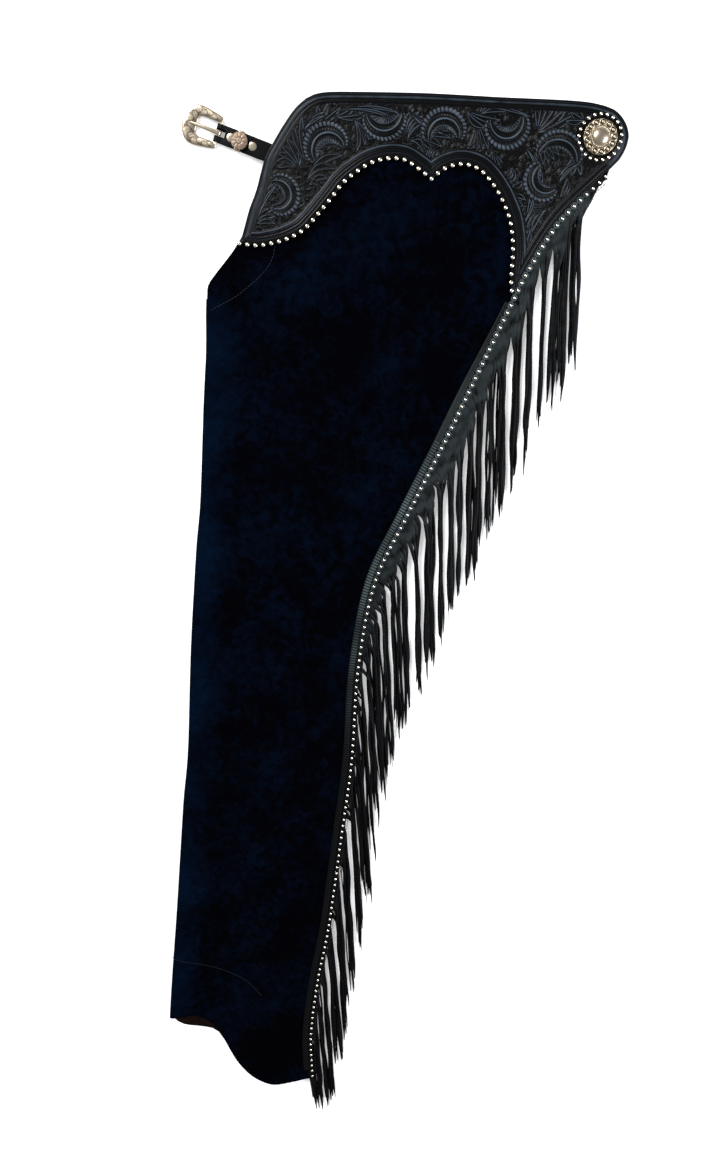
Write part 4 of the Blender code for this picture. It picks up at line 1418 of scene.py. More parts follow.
@dataclass(frozen=True)
class Concho:
    """A cast concho: a smooth dome in a ring of berries, with a scalloped edge."""

    wardrobe: Wardrobe
    radius: float = 16.7
    scallop: float = 0.9
    dome: float = 8.0
    berries: int = 13
    berry_ring: float = 13.4
    berry: float = 1.75
    radial_steps: int = 84
    turns: int = 312

    def height(self, away: Array, angle: Array) -> Array:
        """Height of the casting: a dome, a rope round it, and cupped berries on a plate.

        Args:
            away: distance from the middle.
            angle: the way from it, in radians.

        Returns:
            The height over the foot.
        """
        plate = 1.7 - 0.5 * ease(away, self.berry_ring, self.radius + self.scallop)
        middle = 2.0 + 3.8 * dome(away / (self.dome + 0.3))
        rope = 2.2 + 0.5 * dome((away - self.dome - 0.9) / 0.7) + 0.12 * np.cos(angle * 44)
        spacing = 2 * math.pi / self.berries
        offset = (angle + spacing / 2) % spacing - spacing / 2
        from_berry = np.hypot(away * np.cos(offset) - self.berry_ring, away * np.sin(offset))
        ball = plate + 1.5 * dome(from_berry / self.berry)
        cup = plate + 0.75 * np.exp(-((from_berry - self.berry - 1.0) / 0.42) ** 2)
        pit = plate - 0.7 * np.exp(-((from_berry - self.berry - 0.2) / 0.3) ** 2)
        height = np.where(away < self.dome, middle,
                          np.where(away < self.dome + 1.7, rope, plate))
        outside = away > self.dome + 1.2
        around = np.where(from_berry < self.berry + 0.55, pit, cup)
        height = np.where(outside, np.where(from_berry < self.berry, ball, around), height)
        return height - 1.2 * ease(away, self.radius - 0.7, self.radius + self.scallop)

    def build(self) -> None:
        """Makes the casting on a polar grid whose outer ring follows the scallops."""
        angle = full_turn(self.turns)[None]
        share = np.linspace(0.004, 1, self.radial_steps)[:, None] ** 0.85
        edge = self.radius + self.scallop * np.abs(np.cos(angle * self.berries / 2)) ** 0.7 - 0.1
        away = share * edge
        height = self.height(away, angle + 0 * share)
        face = np.stack([away * np.cos(angle), away * np.sin(angle), height], axis=-1)
        foot = face[-1] * (1, 1, 0)
        points = np.concatenate([face.reshape(-1, 3), foot])
        points += (CONCHO_X, CONCHO_Y, YOKE_TOP_LEVEL + GAP)
        rings = self.radial_steps + 1
        low = np.concatenate([height.ravel(), np.zeros(self.turns)])
        concho = add_piece("concho_casting", points, tube_faces(rings, self.turns),
                           self.wardrobe.silver, "chaps", ["concho"], sharp=70,
                           marks={"relief": np.clip((low - 0.95) / 1.1, 0, 1)})
        tidy_mesh(concho)


# The fringe

@dataclass(frozen=True)
class Fringe:
    """One length of fringe leather, sewn in at the seam and cut into strands.

    A strand leaves square to the seam as part of the uncut web and turns to hang. Beyond its cut
    it takes its own width, waves and twist, and is drawn into a lane with its neighbours, which
    leaves gaps between the lanes.
    """

    wardrobe: Wardrobe
    name: str
    node: str
    layer: Layer
    first: float
    last: float
    seed: int
    pitch: float = 6.0
    lane: float = 11.0
    shortest_web: float = 8.0
    longest_web: float = 27.0
    rows: int = 34
    web_rows: int = 14
    gather: float = 0.88
    strays: float = 0.08
    narrowest: float = 1.2
    widest: float = 2.5
    drawn_within: float = 34.0
    wander: float = 3.0
    wander_length: float = 17.0
    cut_wave: float = 9.0
    cut_wander: float = 31.0
    step: float = 1.0
    longest: float = 250.0
    shortest: float = 18.0
    uneven: float = 9.0
    sewn_in: float = 2.6
    tip_heading: float = -119.0
    tip_turn: float = 62.0

    def build(self) -> None:
        """Makes the fringe: three columns of points for each strand, joined where it isn't cut."""
        source = np.random.default_rng(self.seed)
        count = max(2, int((self.last - self.first) / self.pitch))
        edge = np.linspace(self.first, self.last, count + 1)
        seam_rows = at_distances(seam_line(), (edge[1:] + edge[:-1]) / 2)
        uneven = source.normal(0, self.uneven, count)
        length = seam_rows[:, 4] + uneven * np.minimum(seam_rows[:, 4] / 100, 1)
        length = np.maximum(length, self.shortest)
        cut = self.cuts(edge, source)
        start = ((cut[1:] + cut[:-1]) / 2)[:, None]
        reach = self.reaches(seam_rows[:, 4], length)
        paths, angles = self.paths((edge[1:] + edge[:-1]) / 2, start, seam_rows, source)
        centre = self.follow(paths, reach)
        heading = self.follow(angles[..., None], reach)[..., 0]
        half, twist = self.sections(reach, start, length[:, None], source)
        web = 1 - ease(reach, start, start + 25)
        level = self.levels(centre, reach, start, seam_rows[:, 1], source)
        side = np.stack([-np.sin(heading), np.cos(heading)], axis=-1)
        spread = (half * np.cos(twist))[..., None] * side
        lift = half * np.sin(twist)
        shared = self.between(np.dstack([centre, level]), self.pitch * np.dstack([side, 0 * level]))
        columns = []
        sides = ((shared[:-1], cut[:-1, None], 1), (shared[1:], cut[1:, None], -1))
        for place, cut_at, sign in sides:
            own = np.dstack([centre + sign * spread, level + sign * lift])
            free = ease(reach, cut_at, cut_at + 14)[..., None]
            columns.append(place * (1 - free) + own * free)
        crown = np.dstack([0 * centre, 0.14 * half * (1 - web)])
        strands = np.stack([columns[0], (columns[0] + columns[1]) / 2 + crown, columns[1]], axis=2)
        slant = source.uniform(0.25, 0.75, (count, 1))
        strands[:, -1, 0] = strands[:, -1, 0] * slant + strands[:, -2, 0] * (1 - slant)
        first = np.arange(count)[:, None, None] * self.rows * 3
        faces = (grid_faces(self.rows, 3)[None] + first).reshape(-1, 4)
        piece = add_piece(self.name, strands, [faces], self.wardrobe.fringe, "chaps",
                          [self.node],
                          marks={"rubbed_and_sheen": self.rubbed_and_sheen(centre, web, source)})
        tidy_mesh(piece, merge=0.05)
        add_wall(piece, FRINGE_LEATHER)

    def cuts(self, edge: Array, source: Random) -> Array:
        """How far each cut stops below the seam: long stretches of web between short ones.

        Args:
            edge: each cut's place along the seam.
            source: the fringe's random numbers.

        Returns:
            One depth for each cut.
        """
        wander = 2.2 * np.sin(edge / self.cut_wander)
        wave = 0.5 + 0.5 * np.sin(edge / self.cut_wave + wander)
        uneven = np.clip(wave + source.uniform(-0.3, 0.3, len(edge)), 0, 1)
        share = np.interp(edge, (0, 350, 480, 640), (1.0, 1.0, 0.6, 0.15))
        shortest = self.shortest_web * np.interp(edge, (400, 640), (1.0, 0.5))
        return shortest + (self.longest_web - self.shortest_web) * uneven * share

    def reaches(self, table_length: Array, length: Array) -> Array:
        """Distance from the seam of each row: the same for all in the web, then to each tip.

        Args:
            table_length: each strand's length in the table.
            length: its own length.

        Returns:
            A row of distances for each strand.
        """
        web = np.linspace(0, self.longest_web + 4, self.web_rows)[None] * np.minimum(
            table_length / 130, 1)[:, None]
        web = np.minimum(web, 0.7 * length[:, None] * np.linspace(0, 1, self.web_rows))
        rest = np.linspace(0, 1, self.rows - self.web_rows + 1)[None, 1:] ** 0.92
        return np.hstack([web, web[:, -1:] + (length[:, None] - web[:, -1:]) * rest])

    def paths(self, middle: Array, start: Array, seam_rows: Array,
              source: Random) -> tuple[Array, Array]:
        """Each strand's path, one point a step, and its heading there.

        The heading eases from square to the seam round to the hang, with a slow wave beyond the
        cut. The path is the sum of its steps, shifted sideways towards the middle of its lane.

        Args:
            middle: each strand's place along the seam.
            start: how far each strand runs before it is free.
            seam_rows: the seam's table at each strand.
            source: the fringe's random numbers.

        Returns:
            The paths and the headings.
        """
        count = len(middle)
        seam = seam_line()
        out = -np.column_stack([np.interp(middle, distance_along(seam), column)
                                for column in right_of(seam).T])
        hang = np.radians(seam_rows[:, 2] + source.normal(0, 0.7, count))[:, None] - math.pi / 2
        square = np.arctan2(out[:, 1], out[:, 0])[:, None]
        steep = np.interp(middle, (430, 600), (0.0, 0.72))[:, None]
        square = square * (1 - steep) + hang * steep
        tucked = ease(middle, 20, 80)[:, None]
        square = square * tucked + math.radians(self.tip_heading) * (1 - tucked)
        least = np.interp(middle, (420, 600), (0.85, 0.25))
        turn = (seam_rows[:, 3] * source.uniform(least, 1.2, count))[:, None]
        steps = np.arange(0, self.longest, self.step)[None]
        turned = ease(steps, 0.0, turn * tucked + self.tip_turn * (1 - tucked))
        wave = source.uniform(0.01, 0.075, (count, 1)) * np.sin(
            steps * 2 * math.pi / source.uniform(50, 130, (count, 1))
            + source.uniform(0, 2 * math.pi, (count, 1)))
        angles = square * (1 - turned) + hang * turned + wave * ease(steps, start, start + 30)
        moves = np.stack([np.cos(angles), np.sin(angles)], axis=-1) * self.step
        sewn = seam_rows[:, :2] - out * self.sewn_in
        moves = np.concatenate([sewn[:, None], moves[:, :-1]], axis=1)
        paths = np.cumsum(moves, axis=1)
        hung = self.follow(paths, np.maximum(start, turn))
        u = hung[..., 0] + np.tan(np.radians(seam_rows[:, 2:3])) * hung[..., 1]
        warped = u + self.wander * np.sin(u / self.wander_length)
        from_lane = warped - self.lane * np.round(warped / self.lane)
        drawn = self.gather * (source.uniform(0, 1, (count, 1)) > self.strays)
        shift = source.normal(0, 0.7, (count, 1)) - drawn * from_lane
        paths[..., 0] += shift * ease(steps, start, start + self.drawn_within)
        return paths, angles

    def between(self, values: Array, beyond: Array) -> Array:
        """Values midway between neighbours, and half a pitch beyond the first and the last.

        Args:
            values: one row for each strand.
            beyond: the way from each strand to the one before it.

        Returns:
            One row for each cut.
        """
        first, last = values[:1] + beyond[:1] / 2, values[-1:] - beyond[-1:] / 2
        return np.concatenate([first, (values[1:] + values[:-1]) / 2, last])

    def follow(self, values: Array, reach: Array) -> Array:
        """Reads values given at every step at other distances, by straight interpolation.

        Args:
            values: one row for each strand.
            reach: the distances wanted.

        Returns:
            The values there.
        """
        at = np.clip(reach / self.step, 0, values.shape[1] - 1.001)
        below = at.astype(int)
        share = (at - below)[..., None]
        row = np.arange(len(values))[:, None]
        return values[row, below] * (1 - share) + values[row, below + 1] * share

    def sections(self, reach: Array, start: Array, length: Array,
                 source: Random) -> tuple[Array, Array]:
        """Half width and twist of each strand: drawn narrower in places, pointed at its end.

        Args:
            reach: each row's distance from the seam.
            start: how far each strand runs before it is free.
            length: each strand's length.
            source: the fringe's random numbers.

        Returns:
            The half widths, and the twists in radians.
        """
        count = len(reach)
        width = source.uniform(self.narrowest, self.widest, (count, 1))
        width = np.where(source.uniform(0, 1, (count, 1)) < 0.15, 0.5, width)
        drawn = 1 + 0.2 * np.sin(reach * 2 * math.pi / source.uniform(40, 110, (count, 1))
                                 + source.uniform(0, 2 * math.pi, (count, 1)))
        half = width * drawn * (1 - 0.72 * ease(reach, length - 26, length))
        turn = source.uniform(0.0, 0.2 if self.layer is Layer.UNDER else 1.1, (count, 1))
        twist = turn * np.sin(reach * 2 * math.pi / source.uniform(80, 200, (count, 1))
                              + source.uniform(0, 2 * math.pi, (count, 1)))
        return half, twist * ease(reach, start, start + 30)

    def levels(self, centre: Array, reach: Array, start: Array, root_y: Array,
               source: Random) -> Array:
        """Height of each strand: on the suede at its root, falling to the level where it lies.

        Args:
            centre: the strands' middles in plan.
            reach: each row's distance from the seam.
            start: how far each strand runs before it is free.
            root_y: y of each strand's root.
            source: the fringe's random numbers.

        Returns:
            The height at each place.
        """
        if self.layer is Layer.UNDER:
            root, lies = np.full((len(root_y), 1), 0.9), source.uniform(0.9, 1.5, (len(root_y), 1))
        else:
            root = panel_top(root_y)[:, None] + GAP + FRINGE_LEATHER / 2
            lies = source.uniform(2.5, 4.6, (len(root_y), 1))
        cockle = 0.6 * ripple(centre[..., 0], centre[..., 1], 15, 31) * ease(reach, 5, 12)
        cockle = cockle * (self.layer is Layer.UPPER) * (1 - ease(reach, start, start + 30))
        return root + (lies - root) * ease(reach, start, start + 60) + cockle

    def rubbed_and_sheen(self, centre: Array, web: Array, source: Random) -> Array:
        """How light the leather is: a painted sheen, most in the web high on the leg and least in
        the low strands, with random patches and tones.

        Args:
            centre: the strands' middles in plan.
            web: how far each place is part of the web.
            source: the fringe's random numbers.

        Returns:
            A share for each point.
        """
        x, y = centre[..., 0], centre[..., 1]
        # Painted sheen: the web is lighter the higher it lies on the leg
        lit = ease(y, -60, 230)
        patchy = 0.7 + 0.6 * ripple(x, y, 13, 41)
        strand = source.uniform(-0.15, 0.3, (len(x), 1)) * ease(y, -250, 250)
        return np.repeat((web * lit * patchy + (1 - web) * strand)[..., None], 3, axis=2)


# Trims along the seam and sewing on the suede

@dataclass(frozen=True)
class SeamTrim:
    """The rolled piping, the zip that follows it and the tape under the seam's studs."""

    wardrobe: Wardrobe
    piping_first: float = 150.0
    piping_last: float = 306.0
    zip_first: float = 296.0
    zip_last: float = 1120.0
    coil_pitch: float = 3.1
    tape_last: float = 1118.0
    inner: float = -2.9
    outer: float = -10.6
    piping_columns: int = 13
    zip_columns: int = 10

    def strip(self, first: float, last: float, step: float, inner: float, outer: float,
              columns: int) -> tuple[Array, Array, Array]:
        """Plan of a strip beside the seam, with distances along and shares across it.

        Args:
            first, last: where it runs along the seam.
            step: the distance between its rows.
            inner, outer: its edges, as distances from the seam.
            columns: points across.

        Returns:
            The plan, the distances along and the shares across.
        """
        seam = seam_line()
        run = np.arange(first, last, step)
        row = at_distances(seam, run)
        out = -right_of(row)
        share = np.linspace(0, 1, columns)
        offset = inner + (outer - inner) * share
        plan = row[:, None, :2] + out[:, None] * offset[None, :, None]
        return (plan, np.repeat(run[:, None], columns, axis=1),
                np.repeat(share[None], len(run), axis=0))

    def raise_strip(self, plan: Array, height: Array) -> tuple[Array, Faces]:
        """Closed strip on the suede: the given heights above a flat foot.

        Args:
            plan: the strip's plan.
            height: heights above its foot.

        Returns:
            The points and the faces.
        """
        foot = panel_top(plan[..., 1]) + GAP
        rings = np.concatenate([np.dstack([plan, foot + height]),
                                np.dstack([plan, foot])[:, ::-1]], axis=1)
        return rings.reshape(-1, 3), tube_faces(*rings.shape[:2])

    def piping(self) -> None:
        """A roll of leather, half round across."""
        plan, run, share = self.strip(self.piping_first, self.piping_last, 1.5, self.inner,
                                      self.outer, self.piping_columns)
        width = 0.55 + 0.45 * ease(run, self.piping_first, self.piping_last - 30)
        plan = plan[:, :1] + (plan - plan[:, :1]) * width[..., None]
        height = 0.3 + 1.4 * dome(2 * share - 1) + 0.06 * ripple(plan[..., 0], plan[..., 1], 9, 3)
        points, faces = self.raise_strip(plan, height)
        # Lighter from 160 to 260 mm down the seam
        rubbed_and_sheen = np.repeat(0.2 + 0.5 * ease(run[:, :1], 160, 260), 2 * self.piping_columns, 1)
        piece = add_piece("seam_piping_roll", points, faces, self.wardrobe.fringe, "chaps",
                          ["seam_piping"], marks={"rubbed_and_sheen": rubbed_and_sheen})
        tidy_mesh(piece)

    def zip(self) -> None:
        """Woven tape with a coil: ribs across it, one each pitch, under a rounded profile."""
        plan, run, share = self.strip(self.zip_first, self.zip_last, self.coil_pitch / 4,
                                      self.inner, self.outer, self.zip_columns)
        coil = dome((share - 0.5) / 0.5)
        rib = 0.5 + 0.5 * np.cos(run * 2 * math.pi / self.coil_pitch + 1.6 * share)
        height = 0.35 + coil * (0.75 + 0.7 * rib) * ease(run, self.zip_first, self.zip_first + 9)
        points, faces = self.raise_strip(plan, height)
        # Painted light: highlights on the coil's crests, and painted shade as the zip darkens down
        # the leg
        painted_falloff = (1 - ease(run, 430, 700)) * (0.8 + 0.3 * ripple(plan[..., 0], plan[..., 1], 60, 9))
        lit = np.concatenate([painted_falloff * (0.05 + 1.1 * rib ** 2 * coil), painted_falloff * 0], axis=1)
        piece = add_piece("zip_coil_and_tape", points, faces, self.wardrobe.zip, "chaps",
                          ["zip_band"], sharp=80, marks={"lit": lit})
        tidy_mesh(piece)

    def stud_tape(self) -> None:
        """Narrow tape under the seam studs, cupped round each one, with a scalloped outer edge."""
        pitch = Studs.seam_pitch
        plan, run, share = self.strip(0.0, self.tape_last, pitch / 8, -2.9, 3.1, 9)
        phase = np.cos(run * 2 * math.pi / pitch)
        inner_edge, outer = plan[:, :1], plan[:, -1:] - plan[:, :1]
        plan = inner_edge + outer * (share * (0.9 + 0.1 * phase))[..., None]
        along = (run / pitch + 0.5) % 1 * pitch - pitch / 2
        from_stud = np.hypot(along, share * 6.0 - 2.9)
        cup = np.exp(-((from_stud - 2.75) / 0.5) ** 2)
        points, faces = self.raise_strip(plan, FRINGE_LEATHER + 0.15 + 0.45 * cup)
        # Painted highlight on the cups round the studs, fading out down the leg
        glow = 1.2 * cup * (1 - ease(run, 300, 640)) * ease(run, 10, 40)
        piece = add_piece("stud_tape", points, faces, self.wardrobe.zip, "chaps",
                          sharp=80, marks={"lit": np.concatenate([glow, 0 * glow], axis=1)})
        tidy_mesh(piece)

    def build(self) -> None:
        """Makes the piping, the zip and the tape under the studs."""
        self.piping()
        self.zip()
        self.stud_tape()


CROTCH_SEAM = table(
    Point, (-164, 390), (-150, 397), (-135, 405), (-123, 414), (-112, 423), (-102, 434),
    (-97, 444), (-95, 452)
)
HEM_SEAM = table(
    Point, (-240, -371), (-218, -378), (-200, -382), (-180, -388), (-158, -399), (-144, -411),
    (-132, -427)
)


@dataclass(frozen=True)
class SuedeSewing:
    """Topstitching on the suede: along the crotch piece, the hem piece and beside the studs."""

    wardrobe: Wardrobe
    pitch: float = 3.4
    length: float = 2.7
    width: float = 0.75
    height: float = 0.5
    top_above: float = 5.48
    beside_studs: float = 4.6

    def build(self) -> None:
        """Lays the stitches on the upper leg's own surface."""
        leg = bpy.data.objects["upper_leg_suede"]
        seam = seam_line()
        beside_studs = seam[:, :2] - right_of(seam) * self.beside_studs
        lines = (smooth_line(CROTCH_SEAM, 200), smooth_line(HEM_SEAM, 200))
        places, along = [], []
        for line in lines:
            run = np.arange(1.0, distance_along(line)[-1], self.pitch)
            row = at_distances(line, run)
            places.append(np.column_stack([row[:, :2], surface_level(leg, row, self.top_above)]))
            along.append(directions(row))
        run = np.arange(6.0, distance_along(beside_studs)[-1] - 4, self.pitch)
        row = at_distances(beside_studs, run)
        places.append(np.column_stack([row, panel_top(row[:, 1]) + GAP + FRINGE_LEATHER - 0.1]))
        along.append(directions(row))
        form, faces = stitch_form(self.length, self.width, self.height)
        points, blocks = repeat_form(form, faces, np.vstack(places), np.vstack(along))
        add_piece("suede_topstitching", points, blocks, self.wardrobe.thread, "chaps",
                  marks={"lit": np.full(len(points), 0.3)})


def surface_level(leg: Piece, places: Array, above: float) -> Array:
    """Height of the leg's top face under each place, from its nearest point in plan.

    Args:
        leg: the leg's piece.
        places: one row for each place.
        above: a height between the leg's lower side and its top.

    Returns:
        The height at each.
    """
    points = np.empty(len(leg.data.vertices) * 3, np.float32)
    leg.data.vertices.foreach_get("co", points)
    points = points.reshape(-1, 3) / MM
    points = points[points[:, 2] > above]
    apart = ((places[:, None, :2] - points[None, :, :2]) ** 2).sum(axis=-1)
    return points[apart.argmin(axis=1), 2] + SUEDE / 2


# The front strap and its metal

class PlyStep(NamedTuple):
    """A place along the strap and the mid-height of its leather there."""

    along: float
    height: float


class FrameStep(NamedTuple):
    """A place on the buckle's frame, with the half sizes of its section."""

    along: float
    across: float
    height: float
    half_width: float
    half_height: float


BUCKLE_FRAME = table(
    FrameStep, (0.0, 0.0, 3.5, 1.5, 1.5), (0.0, 9.2, 3.5, 1.5, 1.5), (0.9, 12.2, 3.5, 2.6, 1.9),
    (5.0, 12.7, 3.4, 3.6, 2.1), (12.0, 13.3, 3.1, 4.1, 2.1), (19.0, 13.7, 2.8, 4.7, 2.1),
    (24.7, 12.0, 2.6, 6.0, 2.1), (28.2, 6.7, 2.5, 6.8, 2.2), (28.9, 0.0, 2.5, 7.3, 2.3)
)

SCREW_PROFILE = ((1.0, -0.05), (1.0, 0.01), (0.92, 0.035), (0.5, 0.06), (0.16, 0.065))


def strap_place(along: Array, across: Array, height: Array) -> Array:
    """A place on the strap, measured from the buckle's bar, as x, y and z.

    Args:
        along: distance past the bar, away from the yoke.
        across: distance from the strap's middle.
        height: height.

    Returns:
        The places, in one array.
    """
    along, across, height = np.broadcast_arrays(along, across, height)
    cosine, sine = math.cos(STRAP_ANGLE), math.sin(STRAP_ANGLE)
    return np.stack([BAR_X + along * cosine + across * sine,
                     BAR_Y + along * sine - across * cosine, height], axis=-1)


@dataclass(frozen=True)
class FrontStrap:
    """The front strap, doubled round the buckle's bar and held by two screws."""

    wardrobe: Wardrobe
    slot_half: float = 2.7
    slot_end: float = -7.4
    screw_radius: float = 4.0
    screw_sides: int = 28
    screws: tuple[float, float] = (-13.2, -35.2)
    billet_start: float = -52.0
    billet_length: float = 92.0
    billet_rows: int = 40
    billet_columns: int = 8

    def route(self) -> Array:
        """The strap's way from under the yoke over the bar and back, in along and height.

        Returns:
            One row for each place.
        """
        radius = BAR_RADIUS + GAP + STRAP_LEATHER / 2
        turn = np.radians(np.arange(90, -91, -12))
        loop = [PlyStep(radius * math.cos(a), BAR_Z + radius * math.sin(a)) for a in turn]
        upper = [PlyStep(along, UPPER_PLY_LEVEL) for along in (-62, -44, -30, -16)]
        lower = [PlyStep(along, LOWER_PLY_LEVEL) for along in (-15, -30, -46)]
        return np.array(upper + [PlyStep(-8, 6.3), PlyStep(-5.5, BAR_Z + radius)] + loop
                        + [PlyStep(-3.5, 1.4), PlyStep(-8, 3.0)] + lower)

    def build(self) -> None:
        """Makes the strap, its screws and the billet."""
        line = smooth_line(self.route(), 90)
        half = STRAP_WIDTH / 2
        across = np.array([-half, -half + 0.5, -half + 1.5, -5, -self.slot_half, self.slot_half, 5,
                           half - 1.5, half - 0.5, half])
        sink = np.array([0.25, 0.06, 0, 0, 0, 0, 0, 0, 0.06, 0.25])
        sink = sink[None] * (line[:, :1] < self.slot_end)
        grid = strap_place(line[:, :1], across[None],
                           line[:, 1:2] - sink * np.sign(line[:, 1:2] - BAR_Z - 2.5))
        faces = grid_faces(*grid.shape[:2]).reshape(len(line) - 1, len(across) - 1, 4)
        slotted = (line[:-1, 0] > self.slot_end) & (line[1:, 0] > self.slot_end)
        middle = int(np.flatnonzero(across == -self.slot_half)[0])
        kept = np.ones(faces.shape[:2], bool)
        kept[slotted, middle] = False
        rubbed_and_sheen = np.tile((np.abs(across) > half - 1) * 0.35, (len(line), 1))
        strap = add_piece("front_strap_leather", grid, [faces[kept]], self.wardrobe.strap, "chaps",
                          ["front_strap"], marks={"rubbed_and_sheen": rubbed_and_sheen})
        add_wall(strap, STRAP_LEATHER)
        form, blocks = turned_form([(r * self.screw_radius, z * self.screw_radius)
                                    for r, z in SCREW_PROFILE], self.screw_sides)
        places = strap_place(np.array(self.screws), 0.0, STRAP_TOP)
        points, blocks = repeat_form(form, blocks, places, np.tile([1.0, 0.0], (2, 1)))
        add_piece("strap_screws", points, blocks, self.wardrobe.silver, "chaps",
                  marks={"relief": np.full(len(points), 0.8)})
        self.billet()

    def billet(self) -> None:
        """The other strap, folded back between the legs under the yoke, pointed at its end."""
        rows, columns = self.billet_rows, self.billet_columns
        along = np.linspace(0, self.billet_length, rows)[:, None]
        half = np.interp(along, [0, self.billet_length - 14, self.billet_length], [8.0, 8.0, 3.6])
        share = np.linspace(-1, 1, columns)[None]
        level = HIDDEN_YOKE_LEATHER + GAP + SUEDE + GAP + STRAP_LEATHER / 2
        grid = strap_place(self.billet_start - along + 0 * share, half * share,
                           level - 0.15 * share ** 6)
        billet = add_piece("billet_strap_leather", grid, [grid_faces(rows, columns)],
                           self.wardrobe.strap, "chaps", ["billet_strap"],
                           marks={"rubbed_and_sheen": np.zeros(rows * columns)})
        add_wall(billet, STRAP_LEATHER)


@dataclass(frozen=True)
class Buckle:
    """The cast frame, engraved on its face, and its tongue."""

    wardrobe: Wardrobe
    steps: int = 340
    sides: int = 40
    engraving: float = 0.03
    leaf_pitch: float = 6.4
    run_length: float = 118.0
    tongue_rings: int = 70
    tongue_sides: int = 16

    def frame(self) -> None:
        """The frame: a rounded section carried round the opening, with a vine cut into its face."""
        mirrored = [step._replace(across=-step.across) for step in BUCKLE_FRAME[-2:0:-1]]
        given = np.array(list(BUCKLE_FRAME) + mirrored, float)
        line = smooth_line(np.vstack([given[-3:], given, given[:3]]), 700)
        from_first = np.hypot(line[:, 0] - given[0, 0], line[:, 1] - given[0, 1])
        start, end = int(np.argmin(from_first[:200])), 500 + int(np.argmin(from_first[500:]))
        line = evenly(line[start:end + 1], self.steps + 1)[:-1]
        along = np.roll(line, -1, axis=0)[:, :2] - np.roll(line, 1, axis=0)[:, :2]
        along /= np.linalg.norm(along, axis=1)[:, None]
        out = np.column_stack([along[:, 1], -along[:, 0]])
        angle = full_turn(self.sides)[None]
        squared = ease(line[:, 3:4], 1.7, 2.6)
        cosine = squarer(np.cos(angle), 1 - 0.3 * squared)
        sine = squarer(np.sin(angle), 1 - 0.45 * squared)
        across = line[:, 3:4] * cosine
        run = np.linspace(0, 1, self.steps, endpoint=False)[:, None] * self.run_length
        wave = np.sin(run * math.pi / self.leaf_pitch)
        vine = np.exp(-((across / line[:, 3:4] - 0.42 * wave) / 0.17) ** 2)
        stroke = np.sin(math.pi * (run / 3.2 + 1.1 * cosine * wave))
        leaf = 0.8 * np.exp(-(stroke / 0.42) ** 2) * (np.abs(cosine) < 0.74)
        faced = ease(np.sin(angle), 0.2, 0.6) * ease(line[:, 0:1], 0.2, 4.0)
        rim = ease(np.abs(cosine), 0.78, 0.88)
        cut = faced * self.engraving * np.maximum(leaf, vine) * (1 - rim)
        height = line[:, 2:3] + line[:, 4:5] * sine - cut
        plan = line[:, None, :2] + out[:, None] * across[..., None]
        points = strap_place(plan[..., 0], plan[..., 1], height)
        faces = [grid_faces(self.steps, self.sides, closed_rows=True, closed_columns=True)]
        # Painted shade: the frame darkens towards the underside of its section; the engraved lines
        # are dark as antique in the cuts
        bright = (1 - 0.95 * cut / self.engraving) * np.clip(0.45 + 0.5 * (sine + 0 * run), 0.15, 1)
        piece = add_piece("buckle_frame_cast", points, faces, self.wardrobe.silver, "buckle",
                          ["buckle_frame"], sharp=70, marks={"relief": bright})
        tidy_mesh(piece)

    def tongue(self) -> None:
        """The tongue: a flat bar hooked round the frame's bar, tapered and crowned."""
        thickness = 1.2
        radius = BAR_RADIUS + GAP + thickness / 2
        hook = [(radius * math.cos(a), BAR_Z + radius * math.sin(a), 2.0)
                for a in np.radians(np.arange(300, 89, -15))]
        shaft = [(3.5, 6.0, 2.1), (6.0, 6.1, 2.0), (14.0, 6.2, 1.8), (22.0, 6.0, 1.5),
                 (28.5, 5.75, 1.0)]
        line = smooth_line(hook + shaft, self.tongue_rings)
        along = directions(line)
        normal = np.column_stack([-along[:, 1], along[:, 0]])
        angle = full_turn(self.tongue_sides)
        wide = squarer(np.cos(angle), 0.45)
        deep = squarer(np.sin(angle), 0.6) * thickness / 2
        a = line[:, :1] + normal[:, :1] * deep
        z = line[:, 1:2] + normal[:, 1:2] * deep
        points = strap_place(a, line[:, 2:3] * wide, z)
        faces = tube_faces(self.tongue_rings, self.tongue_sides)
        piece = add_piece("buckle_tongue_cast", points, faces, self.wardrobe.silver, "tongue",
                          ["buckle_tongue"],
                          marks={"relief": np.full(self.tongue_rings * self.tongue_sides, 0.9)})
        tidy_mesh(piece)

    def build(self) -> None:
        """Makes the frame and the tongue."""
        self.frame()
        self.tongue()


